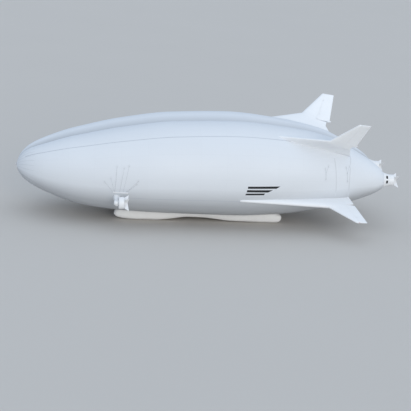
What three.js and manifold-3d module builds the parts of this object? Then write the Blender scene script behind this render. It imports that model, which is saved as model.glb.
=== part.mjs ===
// Twin-lobed hybrid airship, a 1:10 scale model standing on its two landing skids.
// Frame: +X aft, +Y starboard, +Z up, millimetres, with the origin on the floor under the model's middle.
// The dimensions below are full-size metres. x is counted aft from the nose and z up from the floor.

import * as THREE from 'three';
import { mergeVertices } from 'three/addons/utils/BufferGeometryUtils.js';
import Module from 'manifold-3d';

const SCALE = 1 / 10;
const M = 1000 * SCALE;

// Clearances and thin walls are model sizes in millimetres, turned into full-size metres here.
const TOUCH = 0.3 / M;
const CLEAR = 5 / M;
const ENVELOPE_WALL = 10 / M;

// Each lobe is a row of circles. c is the centre's distance from the centre plane, z its height.
const LOBE = [
  { x: -0.1, r: 0.15, c: 0.82, z: 11.3 },
  { x: 2.55, r: 3.8, c: 2.2, z: 11.57 },
  { x: 6.95, r: 5.74, c: 3.77, z: 11.62 },
  { x: 14.0, r: 7.98, c: 4.68, z: 11.69 },
  { x: 24.5, r: 9.81, c: 5.38, z: 12.33 },
  { x: 36.8, r: 10.88, c: 5.64, z: 13.05 },
  { x: 50.9, r: 11.19, c: 5.77, z: 13.29 },
  { x: 63.3, r: 10.42, c: 5.24, z: 13.06 },
  { x: 73.9, r: 8.66, c: 4.65, z: 12.81 },
  { x: 81.8, r: 5.6, c: 5.2, z: 12.15 },
  { x: 87.4, r: 2.0, c: 6.65, z: 11.8 },
];
const LOBE_RINGS = 25;
const LOBE_SIDES = 36;

// The mooring fitting's turned profile, with x counted from its front end.
const NOSE_FITTING = { front: -0.42, z: 11.3, sides: 16 };
const NOSE_PROFILE = [
  { x: 0, r: 0 },
  { x: 0, r: 0.22 },
  { x: 0.32, r: 0.22 },
  { x: 0.42, r: 0.57 },
  { x: 0.62, r: 0.95 },
  { x: 1.6, r: 0.95 },
  { x: 1.6, r: 0 },
];

// Skid sections: lowest and highest point and half width. What lies below the floor is cut flat.
const SKID_Y = 5.5;
const SKID = [
  { x: 23.1, low: 1.1, high: 1.7, half: 0.4 },
  { x: 23.55, low: 0.68, high: 2.35, half: 0.85 },
  { x: 24.7, low: 0.3, high: 3.2, half: 1.15 },
  { x: 26.4, low: 0.06, high: 3.3, half: 1.25 },
  { x: 29.5, low: -0.03, high: 3.3, half: 1.3 },
  { x: 33.0, low: -0.02, high: 3.2, half: 1.3 },
  { x: 35.6, low: 0.22, high: 3.1, half: 1.25 },
  { x: 37.9, low: 0.56, high: 3.0, half: 1.15 },
  { x: 40.4, low: 0.9, high: 3.0, half: 1.05 },
  { x: 44.0, low: 0.87, high: 3.0, half: 1.05 },
  { x: 47.4, low: 0.56, high: 3.0, half: 1.1 },
  { x: 51.0, low: 0.17, high: 3.0, half: 1.2 },
  { x: 55.0, low: 0.06, high: 3.0, half: 1.25 },
  { x: 59.0, low: -0.03, high: 3.1, half: 1.3 },
  { x: 62.0, low: -0.02, high: 2.5, half: 1.2 },
  { x: 63.1, low: 0.25, high: 2.05, half: 0.95 },
  { x: 63.6, low: 0.75, high: 1.6, half: 0.45 },
];
const SKID_SIDES = 20;
const SKID_ROUNDNESS = 2.8;

// Fin sections from inside the hull out to the tip: leading edge, trailing edge and thickness.
// The first lies in the hull, the second on it, and the last but one where the leading edge turns up.
// The rudder's hinge runs from foot to top, with its chords measured back along the tip's chord.
const FINS = {
  upper: {
    sections: [
      { le: [60.0, 9.4, 20.7], te: [77.4, 7.5, 16.3], thick: 2.4 },
      { le: [60.0, 10.4, 22.4], te: [78.2, 9.3, 18.1], thick: 2.6 },
      { le: [63.3, 13.9, 22.15], te: [77.7, 11.0, 19.3], thick: 1.5 },
      { le: [71.3, 15.95, 23.05], te: [77.1, 12.9, 20.5], thick: 1.0 },
      { le: [76.88, 19.05, 27.62], te: [79.87, 18.68, 27.39], thick: 0.4 },
    ],
    rudder: { foot: [75.3, 14.15, 21.6], top: [77.64, 18.96, 27.56], footChord: 2.9, tipChord: 2.25 },
  },
  lower: {
    sections: [
      { le: [51.5, 13.9, 8.9], te: [78.3, 8.4, 8.9], thick: 1.25 },
      { le: [51.5, 15.9, 8.05], te: [78.6, 10.6, 8.25], thick: 1.25 },
      { le: [72.6, 15.6, 7.1], te: [79.15, 14.6, 7.3], thick: 0.85 },
      { le: [77.8, 21.75, 5.45], te: [80.5, 21.75, 5.35], thick: 0.4 },
    ],
    rudder: { foot: [76.84, 14.4, 7.33], top: [78.8, 21.75, 5.41], footChord: 2.3, tipChord: 1.7 },
  },
};
// Half thickness along the chord of a fin section, as a share of the largest.
const FIN_PROFILE = [
  { chord: 0, half: 0.16 },
  { chord: 0.1, half: 0.7 },
  { chord: 0.36, half: 1 },
  { chord: 0.72, half: 0.66 },
  { chord: 1, half: 0.1 },
];
const RUDDER_LUG = { at: [0.22, 0.74], width: 8 / M, back: 6 / M, slot: 12 / M, deep: 11 / M, half: 8 / M };
const RUDDER_EDGE = 0.05;
const RUDDER_NOSE = { foot: 0.42, top: 0.3, corners: 5 };

// One propulsor, with x counted from the duct's front edge and r from the shaft.
const NACELLE = { back: 0.42, r: 0.62, wall: 0.07, tail: 0.3, bore: [-0.9, 0.2], sides: 16 };
const NACELLE_PROFILE = [
  { x: -1.1, r: 0.34 },
  { x: -1.04, r: 0.43 },
  { x: -0.78, r: 0.62 },
  { x: 0, r: 0.62 },
  { x: 0.42, r: 0.3 },
  { x: 0.42, r: 0.11 },
  { x: 0.35, r: 0.11 },
  { x: 0.16, r: 0.55 },
  { x: -0.76, r: 0.55 },
  { x: -1.0, r: 0.32 },
  { x: -1.1, r: 0.34 },
];
const ENGINE = { front: -0.74, back: 0.08, gap: 0.4 / M };
const DUCT = { r: 1.38, bore: 1.27, sides: 28 };
const DUCT_STRUT = { count: 4, thick: 0.05, front: 0.1, back: 0.36, sunk: 0.04 };
const DUCT_PROFILE = [
  { x: 0, r: 1.325 },
  { x: 0.14, r: 1.38 },
  { x: 0.84, r: 1.36 },
  { x: 1.2, r: 1.3 },
  { x: 1.2, r: 1.27 },
  { x: 0.36, r: 1.27 },
  { x: 0.06, r: 1.29 },
  { x: 0, r: 1.325 },
];
const PROPELLER = { x: 0.72, blades: 3, sides: 12 };
const HUB_PROFILE = [
  { x: 0.09, r: 0 },
  { x: 0.09, r: 0.06 },
  { x: 0.5, r: 0.06 },
  { x: 0.5, r: 0.2 },
  { x: 0.82, r: 0.2 },
  { x: 0.98, r: 0.12 },
  { x: 1.06, r: 0 },
];
const BLADE = [
  { r: 0.1, chord: 0.24, thick: 0.09, twist: 62 },
  { r: 0.45, chord: 0.34, thick: 0.06, twist: 42 },
  { r: 0.85, chord: 0.32, thick: 0.045, twist: 27 },
  { r: 1.21, chord: 0.2, thick: 0.025, twist: 20 },
];
const BLADE_SECTION = [[-0.5, 0], [-0.2, 0.5], [0.5, 0.1], [0.5, -0.1], [-0.2, -0.5]];
const VANE = { count: 4, front: 1.24, tipR: 2.05, tipX: 2.28, heelX: 2.0, thick: 0.07 };
const VANE_ROOT = { hub: 0.16, r: 0.05 };

// Forward pods hang beside the hull and tilt about a crosswise trunnion.
const POD = { x: 23.6, y: 16.9, z: 7.2 };
const TRUNNION = { x: 23.1, r: 0.22, housing: 0.42, face: 15.9, root: 15.4, sunk: 0.1, sides: 20 };
const PYLON_ROOT = { y: 12.6, x0: 22.2, x1: 24.6, z0: 6.4, z1: 9.3 };
const PYLON_TIP = { x0: 22.72, x1: 23.48, z0: 6.82, z1: 7.58 };
const PYLON_RAIL = { x0: 22.3, x1: 25.7, z0: 8.75, z1: 9.1, rise: 0.2, sunk: 0.6 };

// Stern propulsors stand on a cone at the end of each lobe.
const STERN = { x: 88.95, y: 6.7, z: 11.8 };
// The fairing's turned profile from the hull back to the duct, then forward inside to the nacelle's seat.
const STERN_PROFILE = [
  { x: -1.15, r: 1.76 },
  { x: -0.38, r: 1.5 },
  { x: -TOUCH, r: 1.42 },
  { x: -TOUCH, r: 1.29 },
  { x: -0.8, r: 1.37 },
  { x: -1.05, r: 0.84 },
  { x: -0.5, r: 0.76 },
];
const STERN_INLET = { front: -0.93, back: -0.4, foot: 1.0, wide: 0.8, degrees: [-5, 40, 140, 185] };

// The flight deck hangs in the valley between the lobes.
const DECK = { front: 24.6, back: 32.0, half: 1.4, floor: 1.1, roof: 3.05, wall: 0.12 };
const DECK_NOSE = { sill: 1.95, chin: 1.5, chinBack: 25.0, brow: 25.35 };
const DECK_TOP = { x0: 25.6, z0: 2.5, reach: 4.6 };
const DECK_DOOR = { x0: 29.3, x1: 30.1, z0: 1.27, z1: 2.74, window: 0.2, paneHeight: 0.42 };
const DECK_WINDOW = { x0: 26.0, x1: 28.6, z0: 1.98, z1: 2.72 };
const WINDSCREEN = { half: 1.12, low: 0.14, high: 0.9 };
const GLASS = 0.06;
const SEAT = { x: 27.0, y: 0.62, width: 0.52 };
// The seat's side outline, from its front edge and the cabin floor.
const SEAT_OUTLINE = [
  { x: 0.08, z: 0 },
  { x: 0.42, z: 0 },
  { x: 0.42, z: 0.34 },
  { x: 0.62, z: 0.42 },
  { x: 0.74, z: 1.14 },
  { x: 0.62, z: 1.14 },
  { x: 0.48, z: 0.54 },
  { x: 0, z: 0.54 },
  { x: 0, z: 0.42 },
  { x: 0.08, z: 0.34 },
];
const CONSOLE = { x0: 25.25, x1: 25.75, half: 1.05, low: 0.55, high: 0.85 };

// The keel under the valley carries the payload and fuel modules.
const KEEL = { x0: 32.2, x1: 66.0, half: 0.45, low: 3.2, high: 5.2 };
const MODULES = {
  payload_module: { x0: 36.0, x1: 45.0, half: 1.4, low: 1.45, high: 3.16, bevel: 0.25 },
  fuel_module: { x0: 54.0, x1: 63.0, half: 1.25, low: 1.6, high: 3.16, bevel: 0.3 },
};

const MID_X = (NOSE_FITTING.front + STERN.x + VANE.tipX) / 2;

const wasm = await Module();
wasm.setup();

const FINISHES = {
  laminate: { color: 0xdfe5ef, roughness: 0.55, metalness: 0 },
  skid_fabric: { color: 0xd9dadb, roughness: 0.7, metalness: 0 },
  white_panel: { color: 0xe9edf2, roughness: 0.45, metalness: 0 },
  grey_panel: { color: 0xb9bec4, roughness: 0.5, metalness: 0.1 },
  dark_metal: { color: 0x2c2f33, roughness: 0.5, metalness: 0.6 },
  cockpit_glass: { color: 0x27323a, roughness: 0.1, metalness: 0 },
  seat_cloth: { color: 0x33363b, roughness: 0.9, metalness: 0 },
};

const airship = new THREE.Group();

function finish(name) {
  return new THREE.MeshStandardMaterial(FINISHES[name]);
}

// Places a full-size point in the model, in millimetres.
function place([x, y, z]) {
  return [(x - MID_X) * M, y * M, z * M];
}

// Turns a closed geometry into a solid that can be joined and cut.
function solid(geometry) {
  const bare = geometry.clone();
  bare.deleteAttribute('normal');
  bare.deleteAttribute('uv');
  const merged = mergeVertices(bare, 1e-3);
  const mesh = new wasm.Mesh({
    numProp: 3,
    vertProperties: new Float32Array(merged.attributes.position.array),
    triVerts: new Uint32Array(merged.index.array),
  });
  return new wasm.Manifold(mesh);
}

function add(name, body, material) {
  const { vertProperties, triVerts } = body.getMesh();
  const geometry = new THREE.BufferGeometry();
  geometry.setAttribute('position', new THREE.BufferAttribute(vertProperties, 3));
  geometry.setIndex(new THREE.BufferAttribute(triVerts, 1));
  geometry.computeVertexNormals();
  const mesh = new THREE.Mesh(geometry, finish(material));
  mesh.name = name;
  airship.add(mesh);
}

// A closed skin through rings of full-size points, all with the same number of points.
function loft(rings) {
  const count = rings[0].length;
  const positions = rings.flat().flatMap((point) => place(point));
  const ends = [rings[0], rings[rings.length - 1]];
  for (const ring of ends) {
    const sum = ring.reduce((total, point) => total.map((value, axis) => value + point[axis]), [0, 0, 0]);
    positions.push(...place(sum.map((value) => value / count)));
  }
  const firstCap = rings.length * count;
  const lastCap = firstCap + 1;
  const lastRing = (rings.length - 1) * count;
  const index = [];
  for (let ring = 0; ring < rings.length - 1; ring += 1) {
    for (let side = 0; side < count; side += 1) {
      const a = ring * count + side;
      const b = ring * count + ((side + 1) % count);
      index.push(a, b, a + count, b, b + count, a + count);
    }
  }
  for (let side = 0; side < count; side += 1) {
    const next = (side + 1) % count;
    index.push(firstCap, next, side, lastCap, lastRing + side, lastRing + next);
  }
  const geometry = new THREE.BufferGeometry();
  geometry.setAttribute('position', new THREE.Float32BufferAttribute(positions, 3));
  geometry.setIndex(index);
  const body = solid(geometry);
  return body.volume() > 0 ? body : solid(flipped(geometry));
}

// The same skin with its faces turned over.
function flipped(geometry) {
  const copy = geometry.clone();
  const index = Array.from(geometry.index.array);
  for (let corner = 0; corner < index.length; corner += 3) {
    [index[corner], index[corner + 1]] = [index[corner + 1], index[corner]];
  }
  copy.setIndex(index);
  return copy;
}

// What is left of a body after a cut: its largest piece.
function largest(body) {
  const parts = body.decompose();
  parts.sort((a, b) => b.volume() - a.volume());
  return parts[0];
}

// A block between two full-size corners.
function block(low, high) {
  const [a, b] = [place(low), place(high)];
  const size = a.map((value, axis) => Math.abs(b[axis] - value));
  const middle = a.map((value, axis) => (b[axis] + value) / 2);
  const geometry = new THREE.BoxGeometry(...size);
  geometry.translate(...middle);
  return solid(geometry);
}

// A turned body about a fore-and-aft line.
function turned(profile, { x, y, z }, sides) {
  const points = profile.map((point) => new THREE.Vector2(point.r * M, point.x * M));
  const geometry = new THREE.LatheGeometry(points, sides);
  geometry.rotateZ(-Math.PI / 2);
  geometry.translate(...place([x, y, z]));
  const body = solid(geometry);
  return body.volume() > 0 ? body : solid(flipped(mergeVertices(geometry)));
}

// An outline in x and z, extruded sideways from y0 to y1.
function sidePlate(outline, y0, y1) {
  return loft([y0, y1].map((y) => outline.map(([x, z]) => [x, y, z])));
}

// A smooth curve through one column of the lobe's table, with no overshoot.
function curveThrough(rows, column) {
  const xs = rows.map((row) => row.x);
  const ys = rows.map(column);
  const slopes = xs.slice(1).map((next, i) => (ys[i + 1] - ys[i]) / (next - xs[i]));
  const tangents = ys.map((_, i) => {
    if (i === 0) return slopes[0];
    if (i === ys.length - 1) return slopes[i - 1];
    if (slopes[i - 1] * slopes[i] <= 0) return 0;
    return 2 / (1 / slopes[i - 1] + 1 / slopes[i]);
  });
  return (x) => {
    const found = xs.findIndex((next) => x <= next);
    const i = Math.max(found < 0 ? xs.length - 2 : found - 1, 0);
    const width = xs[i + 1] - xs[i];
    const t = (x - xs[i]) / width;
    const rise = ys[i + 1] - ys[i];
    const start = tangents[i] * width;
    const end = tangents[i + 1] * width;
    return ys[i] + start * t + (3 * rise - 2 * start - end) * t * t + (start + end - 2 * rise) * t ** 3;
  };
}

const lobeArea = curveThrough(LOBE, (row) => row.r ** 2);
const lobeOffset = curveThrough(LOBE, (row) => row.c);
const lobeHeight = curveThrough(LOBE, (row) => row.z);
const LOBE_FRONT = LOBE[0].x;
const LOBE_BACK = LOBE[LOBE.length - 1].x;

function lobeAt(x) {
  return { r: Math.sqrt(lobeArea(x)), c: lobeOffset(x), z: lobeHeight(x) };
}

// One lobe's skin, moved out along its own normal by grow, or in where grow is negative.
function lobe(side, grow) {
  const probe = 0.01;
  const rings = [];
  for (let ring = 0; ring <= LOBE_RINGS; ring += 1) {
    const share = (1 - Math.cos((Math.PI * ring) / LOBE_RINGS)) / 2;
    const x = LOBE_FRONT + (LOBE_BACK - LOBE_FRONT) * share;
    const { r, c, z } = lobeAt(x);
    const inside = Math.min(Math.max(x, LOBE_FRONT + probe), LOBE_BACK - probe);
    const slope = (lobeAt(inside + probe).r - lobeAt(inside - probe).r) / (2 * probe);
    const length = Math.hypot(1, slope);
    const radius = r + grow / length;
    if (radius < Math.max(-grow, 0.05)) continue;
    rings.push(circle(x - (grow * slope) / length, side * c, z, radius));
  }
  return loft(rings);
}

function circle(x, y, z, radius) {
  return Array.from({ length: LOBE_SIDES }, (_, corner) => {
    const angle = (2 * Math.PI * corner) / LOBE_SIDES;
    return [x, y + radius * Math.cos(angle), z + radius * Math.sin(angle)];
  });
}

// The whole hull as one solid a touch larger than it is, for cutting what rests on it.
const hullCutter = lobe(-1, TOUCH).add(lobe(1, TOUCH));

const SIDES = [
  { side: -1, name: 'port' },
  { side: 1, name: 'starboard' },
];

// Envelope: each half is a 10 mm shell, open towards the other half at the centre plane.
function buildEnvelope({ side, name }) {
  const gap = TOUCH / 2;
  const reach = 40;
  const across = side > 0 ? [gap, reach] : [-reach, -gap];
  const half = block([LOBE_FRONT - 1, across[0], 0], [LOBE_BACK + 1, across[1], reach]);
  const shell = lobe(side, 0).intersect(half).subtract(lobe(side, -ENVELOPE_WALL));
  add(`envelope_${name}`, shell, 'laminate');
}

function buildNoseFitting() {
  const { front, z, sides } = NOSE_FITTING;
  const body = turned(NOSE_PROFILE, { x: front, y: 0, z }, sides);
  add('nose_mooring_fitting', largest(body.subtract(hullCutter)), 'white_panel');
}

function skidRing({ x, low, high, half }, side) {
  const middle = (low + high) / 2;
  const rise = (high - low) / 2;
  return Array.from({ length: SKID_SIDES }, (_, corner) => {
    const angle = (2 * Math.PI * (corner + 0.5)) / SKID_SIDES;
    const [cosine, sine] = [Math.cos(angle), Math.sin(angle)];
    const across = Math.sign(cosine) * Math.abs(cosine) ** (2 / SKID_ROUNDNESS);
    const up = Math.sign(sine) * Math.abs(sine) ** (2 / SKID_ROUNDNESS);
    return [x, side * SKID_Y + half * across, middle + rise * up];
  });
}

function buildSkid({ side, name }) {
  const underFloor = block([20, -10, -1], [70, 10, 0]);
  const body = loft(SKID.map((row) => skidRing(row, side)));
  add(`skid_${name}`, largest(body.subtract(underFloor).subtract(hullCutter)), 'skid_fabric');
}

function vector(point) {
  return new THREE.Vector3(...point);
}

function mirrored(point, side) {
  return [point[0], side * point[1], point[2]];
}

// The square axes of a fin: along the hinge, aft of it and out of the fin's face.
// slant is how far the chord climbs along the hinge for each metre aft.
function finFrame({ sections, rudder }, side) {
  const tip = sections[sections.length - 1];
  const foot = vector(mirrored(rudder.foot, side));
  const top = vector(mirrored(rudder.top, side));
  const along = top.clone().sub(foot).normalize();
  const chord = vector(mirrored(tip.te, side)).sub(vector(mirrored(tip.le, side))).normalize();
  const face = chord.clone().cross(along).normalize();
  const aft = along.clone().cross(face).normalize();
  const slant = chord.dot(along) / chord.dot(aft);
  return { foot, along, aft, face, slant, length: top.distanceTo(foot) };
}

// A point given in a fin's own axes: up the hinge, aft of it and out of the face.
function inFin(frame, up, aft, out) {
  const point = frame.foot.clone();
  point.addScaledVector(frame.along, up).addScaledVector(frame.aft, aft).addScaledVector(frame.face, out);
  return point.toArray();
}

function finRing({ le, te, thick }, face, side) {
  const [front, back] = [vector(mirrored(le, side)), vector(mirrored(te, side))];
  const rim = (rows, sign) => rows.map(({ chord, half }) => {
    const point = front.clone().lerp(back, chord);
    return point.addScaledVector(face, (sign * half * thick) / 2).toArray();
  });
  return [...rim(FIN_PROFILE, 1), ...rim([...FIN_PROFILE].reverse(), -1)];
}

function finBox(frame, up, aft, half) {
  const ring = ([height, front, back]) => [
    inFin(frame, height, front, -half),
    inFin(frame, height, back, -half),
    inFin(frame, height, back, half),
    inFin(frame, height, front, half),
  ];
  return loft([[up[0], ...aft[0]], [up[1], ...aft[1]]].map(ring));
}

function buildFin(level, { side, name }) {
  const { sections, rudder } = FINS[level];
  const frame = finFrame(FINS[level], side);
  const wide = 2;
  const [footNose, tipNose] = noseRadii(sections);
  const space = finBox(
    frame,
    [-CLEAR, frame.length + wide],
    [[-footNose - CLEAR, 2 * wide], [-tipNose - CLEAR, 2 * wide]],
    wide,
  );
  let fin = loft(sections.map((section) => finRing(section, frame.face, side)));
  fin = fin.subtract(space).subtract(hullCutter);
  for (const share of RUDDER_LUG.at) fin = fin.add(hingeLug(frame, share, footNose, tipNose));
  add(`${level}_fin_${name}`, largest(fin), 'laminate');
  add(`${level}_rudder_${name}`, rudderBody(rudder, frame, footNose, tipNose), 'laminate');
}

// The rudder's rounded nose is nearly as thick as the fin is beside it.
function noseRadii(sections) {
  const kink = sections[sections.length - 2];
  const tip = sections[sections.length - 1];
  return [kink.thick * RUDDER_NOSE.foot, tip.thick * RUDDER_NOSE.top];
}

function hingeLug(frame, share, footNose, tipNose) {
  const up = share * frame.length;
  const nose = footNose + (tipNose - footNose) * share;
  const reach = -nose - 3 * CLEAR;
  const { width, back, half } = RUDDER_LUG;
  const thick = Math.min(half, nose / 2);
  return finBox(frame, [up - width / 2, up + width / 2], [[reach, back], [reach, back]], thick);
}

function rudderBody(rudder, frame, footNose, tipNose) {
  const ring = (up, nose, chord) => {
    const points = Array.from({ length: RUDDER_NOSE.corners }, (_, corner) => {
      const angle = Math.PI / 2 + (Math.PI * corner) / (RUDDER_NOSE.corners - 1);
      return inFin(frame, up, nose * Math.cos(angle), nose * Math.sin(angle));
    });
    const back = up + chord * frame.slant;
    points.push(inFin(frame, back, chord, -RUDDER_EDGE), inFin(frame, back, chord, RUDDER_EDGE));
    return points;
  };
  let body = loft([
    ring(0, footNose, rudder.footChord),
    ring(frame.length, tipNose, rudder.tipChord),
  ]);
  const { slot, deep } = RUDDER_LUG;
  for (const share of RUDDER_LUG.at) {
    const up = share * frame.length;
    body = body.subtract(finBox(frame, [up - slot / 2, up + slot / 2], [[-1, deep], [-1, deep]], 1));
  }
  return body;
}

// Nacelle: an open-ended shell around the engine block, with the shaft's hole at the back.
function nacelleBody(at) {
  return turned(NACELLE_PROFILE, at, NACELLE.sides);
}

function engineBody({ x, y, z }) {
  const half = (NACELLE.r - NACELLE.wall - ENGINE.gap) * Math.SQRT1_2;
  return block([x + ENGINE.front, y - half, z - half], [x + ENGINE.back, y + half, z + half]);
}

function ductBody(at) {
  const { count, thick, front, back, sunk } = DUCT_STRUT;
  let duct = turned(DUCT_PROFILE, at, DUCT.sides);
  for (let arm = 0; arm < count; arm += 1) {
    const turn = Math.PI / 4 + (2 * Math.PI * arm) / count;
    duct = duct.add(radialPlate(at, turn, thick, [
      [front, nacelleTail(front) + TOUCH],
      [front, DUCT.bore + sunk],
      [back, DUCT.bore + sunk],
      [back, nacelleTail(back) + TOUCH],
    ]));
  }
  return duct;
}

// The nacelle's radius where it narrows behind the duct's front edge.
function nacelleTail(x) {
  return NACELLE.r + ((NACELLE.tail - NACELLE.r) * x) / NACELLE.back;
}

// A flat plate that stands out from the shaft at an angle. Its outline's points are [x, r].
function radialPlate({ x, y, z }, turn, thick, outline) {
  const [cosine, sine] = [Math.cos(turn), Math.sin(turn)];
  return loft([-thick / 2, thick / 2].map((shift) => outline.map(([along, radius]) => [
    x + along,
    y + radius * cosine - shift * sine,
    z + radius * sine + shift * cosine,
  ])));
}

function vaneBody(at) {
  const { count, front, tipR, tipX, heelX, thick } = VANE;
  const { hub } = VANE_ROOT;
  const profile = [
    { x: front, r: 0 },
    { x: front, r: hub },
    { x: heelX, r: hub / 2 },
    { x: heelX, r: 0 },
  ];
  let vanes = turned(profile, at, 8);
  for (let vane = 0; vane < count; vane += 1) {
    const turn = Math.PI / 4 + (2 * Math.PI * vane) / count;
    vanes = vanes.add(radialPlate(at, turn, thick, [
      [front, VANE_ROOT.r],
      [front, DUCT.r],
      [tipX, tipR],
      [heelX, VANE_ROOT.r],
    ]));
  }
  return vanes;
}

function bladeRing(at, { r, chord, thick, twist }, turn) {
  const pitch = THREE.MathUtils.degToRad(twist);
  const [cosine, sine] = [Math.cos(turn), Math.sin(turn)];
  return BLADE_SECTION.map(([along, across]) => {
    const forward = along * chord * Math.sin(pitch) + across * thick * Math.cos(pitch);
    const sideways = along * chord * Math.cos(pitch) - across * thick * Math.sin(pitch);
    return [
      at.x + PROPELLER.x + forward,
      at.y + r * cosine - sideways * sine,
      at.z + r * sine + sideways * cosine,
    ];
  });
}

function propellerBody(at) {
  const { blades, sides } = PROPELLER;
  let body = turned(HUB_PROFILE, at, sides);
  for (let blade = 0; blade < blades; blade += 1) {
    const turn = Math.PI / 2 + (2 * Math.PI * blade) / blades;
    body = body.add(loft(BLADE.map((row) => bladeRing(at, row, turn))));
  }
  return body;
}

function buildPropulsor(name, at, extra) {
  const nacelle = extra ? nacelleBody(at).add(extra) : nacelleBody(at);
  add(`nacelle_${name}`, nacelle, 'white_panel');
  add(`duct_${name}`, ductBody(at), 'white_panel');
  add(`vanes_${name}`, vaneBody(at), 'white_panel');
  add(`engine_block_${name}`, engineBody(at), 'dark_metal');
  add(`propeller_${name}`, propellerBody(at), 'dark_metal');
}

// A round bar along y between two distances from the centre plane.
function crossBar(x, z, radius, y0, y1, sides) {
  const ring = (y) => Array.from({ length: sides }, (_, corner) => {
    const angle = (2 * Math.PI * corner) / sides;
    return [x + radius * Math.cos(angle), y, z + radius * Math.sin(angle)];
  });
  return loft([ring(y0), ring(y1)]);
}

function buildForwardPod({ side, name }) {
  const at = { x: POD.x, y: side * POD.y, z: POD.z };
  const outer = side * (TRUNNION.face + TOUCH);
  const inner = side * (POD.y - NACELLE.r * 0.8);
  const trunnion = crossBar(TRUNNION.x, POD.z, TRUNNION.r, outer, inner, TRUNNION.sides);
  buildPropulsor(`forward_${name}`, at, trunnion.subtract(nacelleBore(at)));
}

// The nacelle's inside, so that nothing joined to it reaches the engine.
function nacelleBore(at) {
  const radius = NACELLE.r - NACELLE.wall;
  const [front, back] = NACELLE.bore;
  const profile = [
    { x: front, r: 0 },
    { x: front, r: radius },
    { x: back, r: radius },
    { x: back, r: 0 },
  ];
  return turned(profile, at, NACELLE.sides);
}

function buildPylon({ side, name }) {
  const corners = ({ x0, x1, z0, z1 }, y) => [[x0, y, z0], [x1, y, z0], [x1, y, z1], [x0, y, z1]];
  const beam = loft([
    corners(PYLON_ROOT, side * PYLON_ROOT.y),
    corners(PYLON_TIP, side * TRUNNION.root),
  ]);
  const housing = crossBar(
    TRUNNION.x,
    POD.z,
    TRUNNION.housing,
    side * (TRUNNION.root - TRUNNION.sunk),
    side * TRUNNION.face,
    TRUNNION.sides,
  );
  const { x0, x1, z0, z1, rise, sunk } = PYLON_RAIL;
  const railRing = (x) => {
    const { r, c, z } = lobeAt(x);
    const outward = (height) => side * (c + Math.sqrt(r ** 2 - (height - z) ** 2));
    return [
      [x, outward(z0) - side * sunk, z0],
      [x, outward(z0) + side * rise, z0],
      [x, outward(z1) + side * rise, z1],
      [x, outward(z1) - side * sunk, z1],
    ];
  };
  const rail = loft([railRing(x0), railRing((x0 + x1) / 2), railRing(x1)]);
  const pylon = beam.add(housing).add(rail).subtract(hullCutter);
  add(`pylon_${name}`, largest(pylon), 'white_panel');
}

function buildStern({ side, name }) {
  const at = { x: STERN.x, y: side * STERN.y, z: STERN.z };
  const start = LOBE_BACK + TOUCH - STERN.x;
  const rim = LOBE[LOBE.length - 1].r;
  const hole = NACELLE.r + TOUCH;
  const profile = [
    { x: start, r: hole },
    { x: start, r: rim },
    ...STERN_PROFILE,
    { x: STERN_PROFILE[STERN_PROFILE.length - 1].x, r: hole },
    { x: start, r: hole },
  ];
  let fairing = turned(profile, at, 2 * NACELLE.sides);
  const { front, back, foot, wide, degrees } = STERN_INLET;
  for (const angle of degrees) {
    const inlet = [[front, foot], [back, foot], [back, rim], [front, rim]];
    fairing = fairing.subtract(radialPlate(at, THREE.MathUtils.degToRad(angle), wide, inlet));
  }
  add(`stern_mount_${name}`, fairing, 'white_panel');
  buildPropulsor(`stern_${name}`, at);
}

// The flight deck's outer or inner body, by how far its walls lie inside the outline.
function deckBody(inset) {
  const { front, back, half, floor, roof } = DECK;
  const { sill, chin, chinBack, brow } = DECK_NOSE;
  const outline = [
    [chinBack + inset * 0.6, floor + inset],
    [front + inset, chin + inset * 0.4],
    [front + inset, sill - inset * 0.1],
    [brow + inset * 0.9, roof - inset * 0.01],
    [back - inset, roof - inset * 0.01],
    [back - inset, floor + inset],
  ];
  return sidePlate(outline, inset - half, half - inset);
}

function box3(x0, x1, y0, y1, z0, z1) {
  return block([x0, y0, z0], [x1, y1, z1]);
}

function buildDeck() {
  const { front, back, half, floor, wall } = DECK;
  const openTop = box3(DECK_TOP.x0, back - wall, wall - half, half - wall, DECK_TOP.z0, 9);
  const shell = deckBody(0).subtract(deckBody(wall).add(openTop));
  const inner = half - wall;
  const cut = TOUCH / 2;
  const floorTop = floor + wall;
  const frontBack = DECK_NOSE.brow + 0.15;
  const floorPart = shell.intersect(box3(DECK_NOSE.chinBack + 0.1, back, -9, 9, 0, floorTop));
  add('deck_floor', floorPart, 'grey_panel');
  const screen = screenOpening(0);
  const frontPart = shell.intersect(box3(front - 1, frontBack, -9, 9, 0, 9))
    .subtract(box3(DECK_NOSE.chinBack + 0.1 - TOUCH, back, -9, 9, 0, floorTop + cut)).subtract(screen);
  add('deck_front', frontPart, 'white_panel');
  add('windscreen', glassPane(shell, screenOpening(TOUCH)), 'cockpit_glass');
  const rearPart = shell.intersect(box3(back - wall, back, -inner, inner, floorTop + TOUCH, 9));
  add('deck_rear_bulkhead', rearPart, 'grey_panel');
  for (const { side, name } of SIDES) {
    const [y0, y1] = side > 0 ? [inner + TOUCH, half] : [-half, -inner - TOUCH];
    const panel = shell.intersect(box3(frontBack + TOUCH, back, y0, y1, floorTop + TOUCH, 9));
    let cutPanel = panel.subtract(windowOpening(0));
    if (side < 0) cutPanel = cutPanel.subtract(doorOpening());
    add(`deck_side_${name}`, cutPanel, 'white_panel');
    const pane = panel.intersect(windowOpening(TOUCH));
    add(`side_window_${name}`, pane.intersect(paneSlice(side)), 'cockpit_glass');
  }
  buildRoof();
  buildDoor();
}

function doorOpening() {
  const { x0, x1, z0, z1 } = DECK_DOOR;
  return box3(x0 - CLEAR, x1 + CLEAR, -9, 0, z0 - CLEAR, z1 + CLEAR);
}

// The slab of a side wall that a pane fills.
function paneSlice(side) {
  const middle = DECK.half - DECK.wall / 2;
  const [y0, y1] = [middle - GLASS / 2, middle + GLASS / 2].map((y) => side * y).sort((a, b) => a - b);
  return box3(DECK.front, DECK.back, y0, y1, 0, 9);
}

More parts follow.
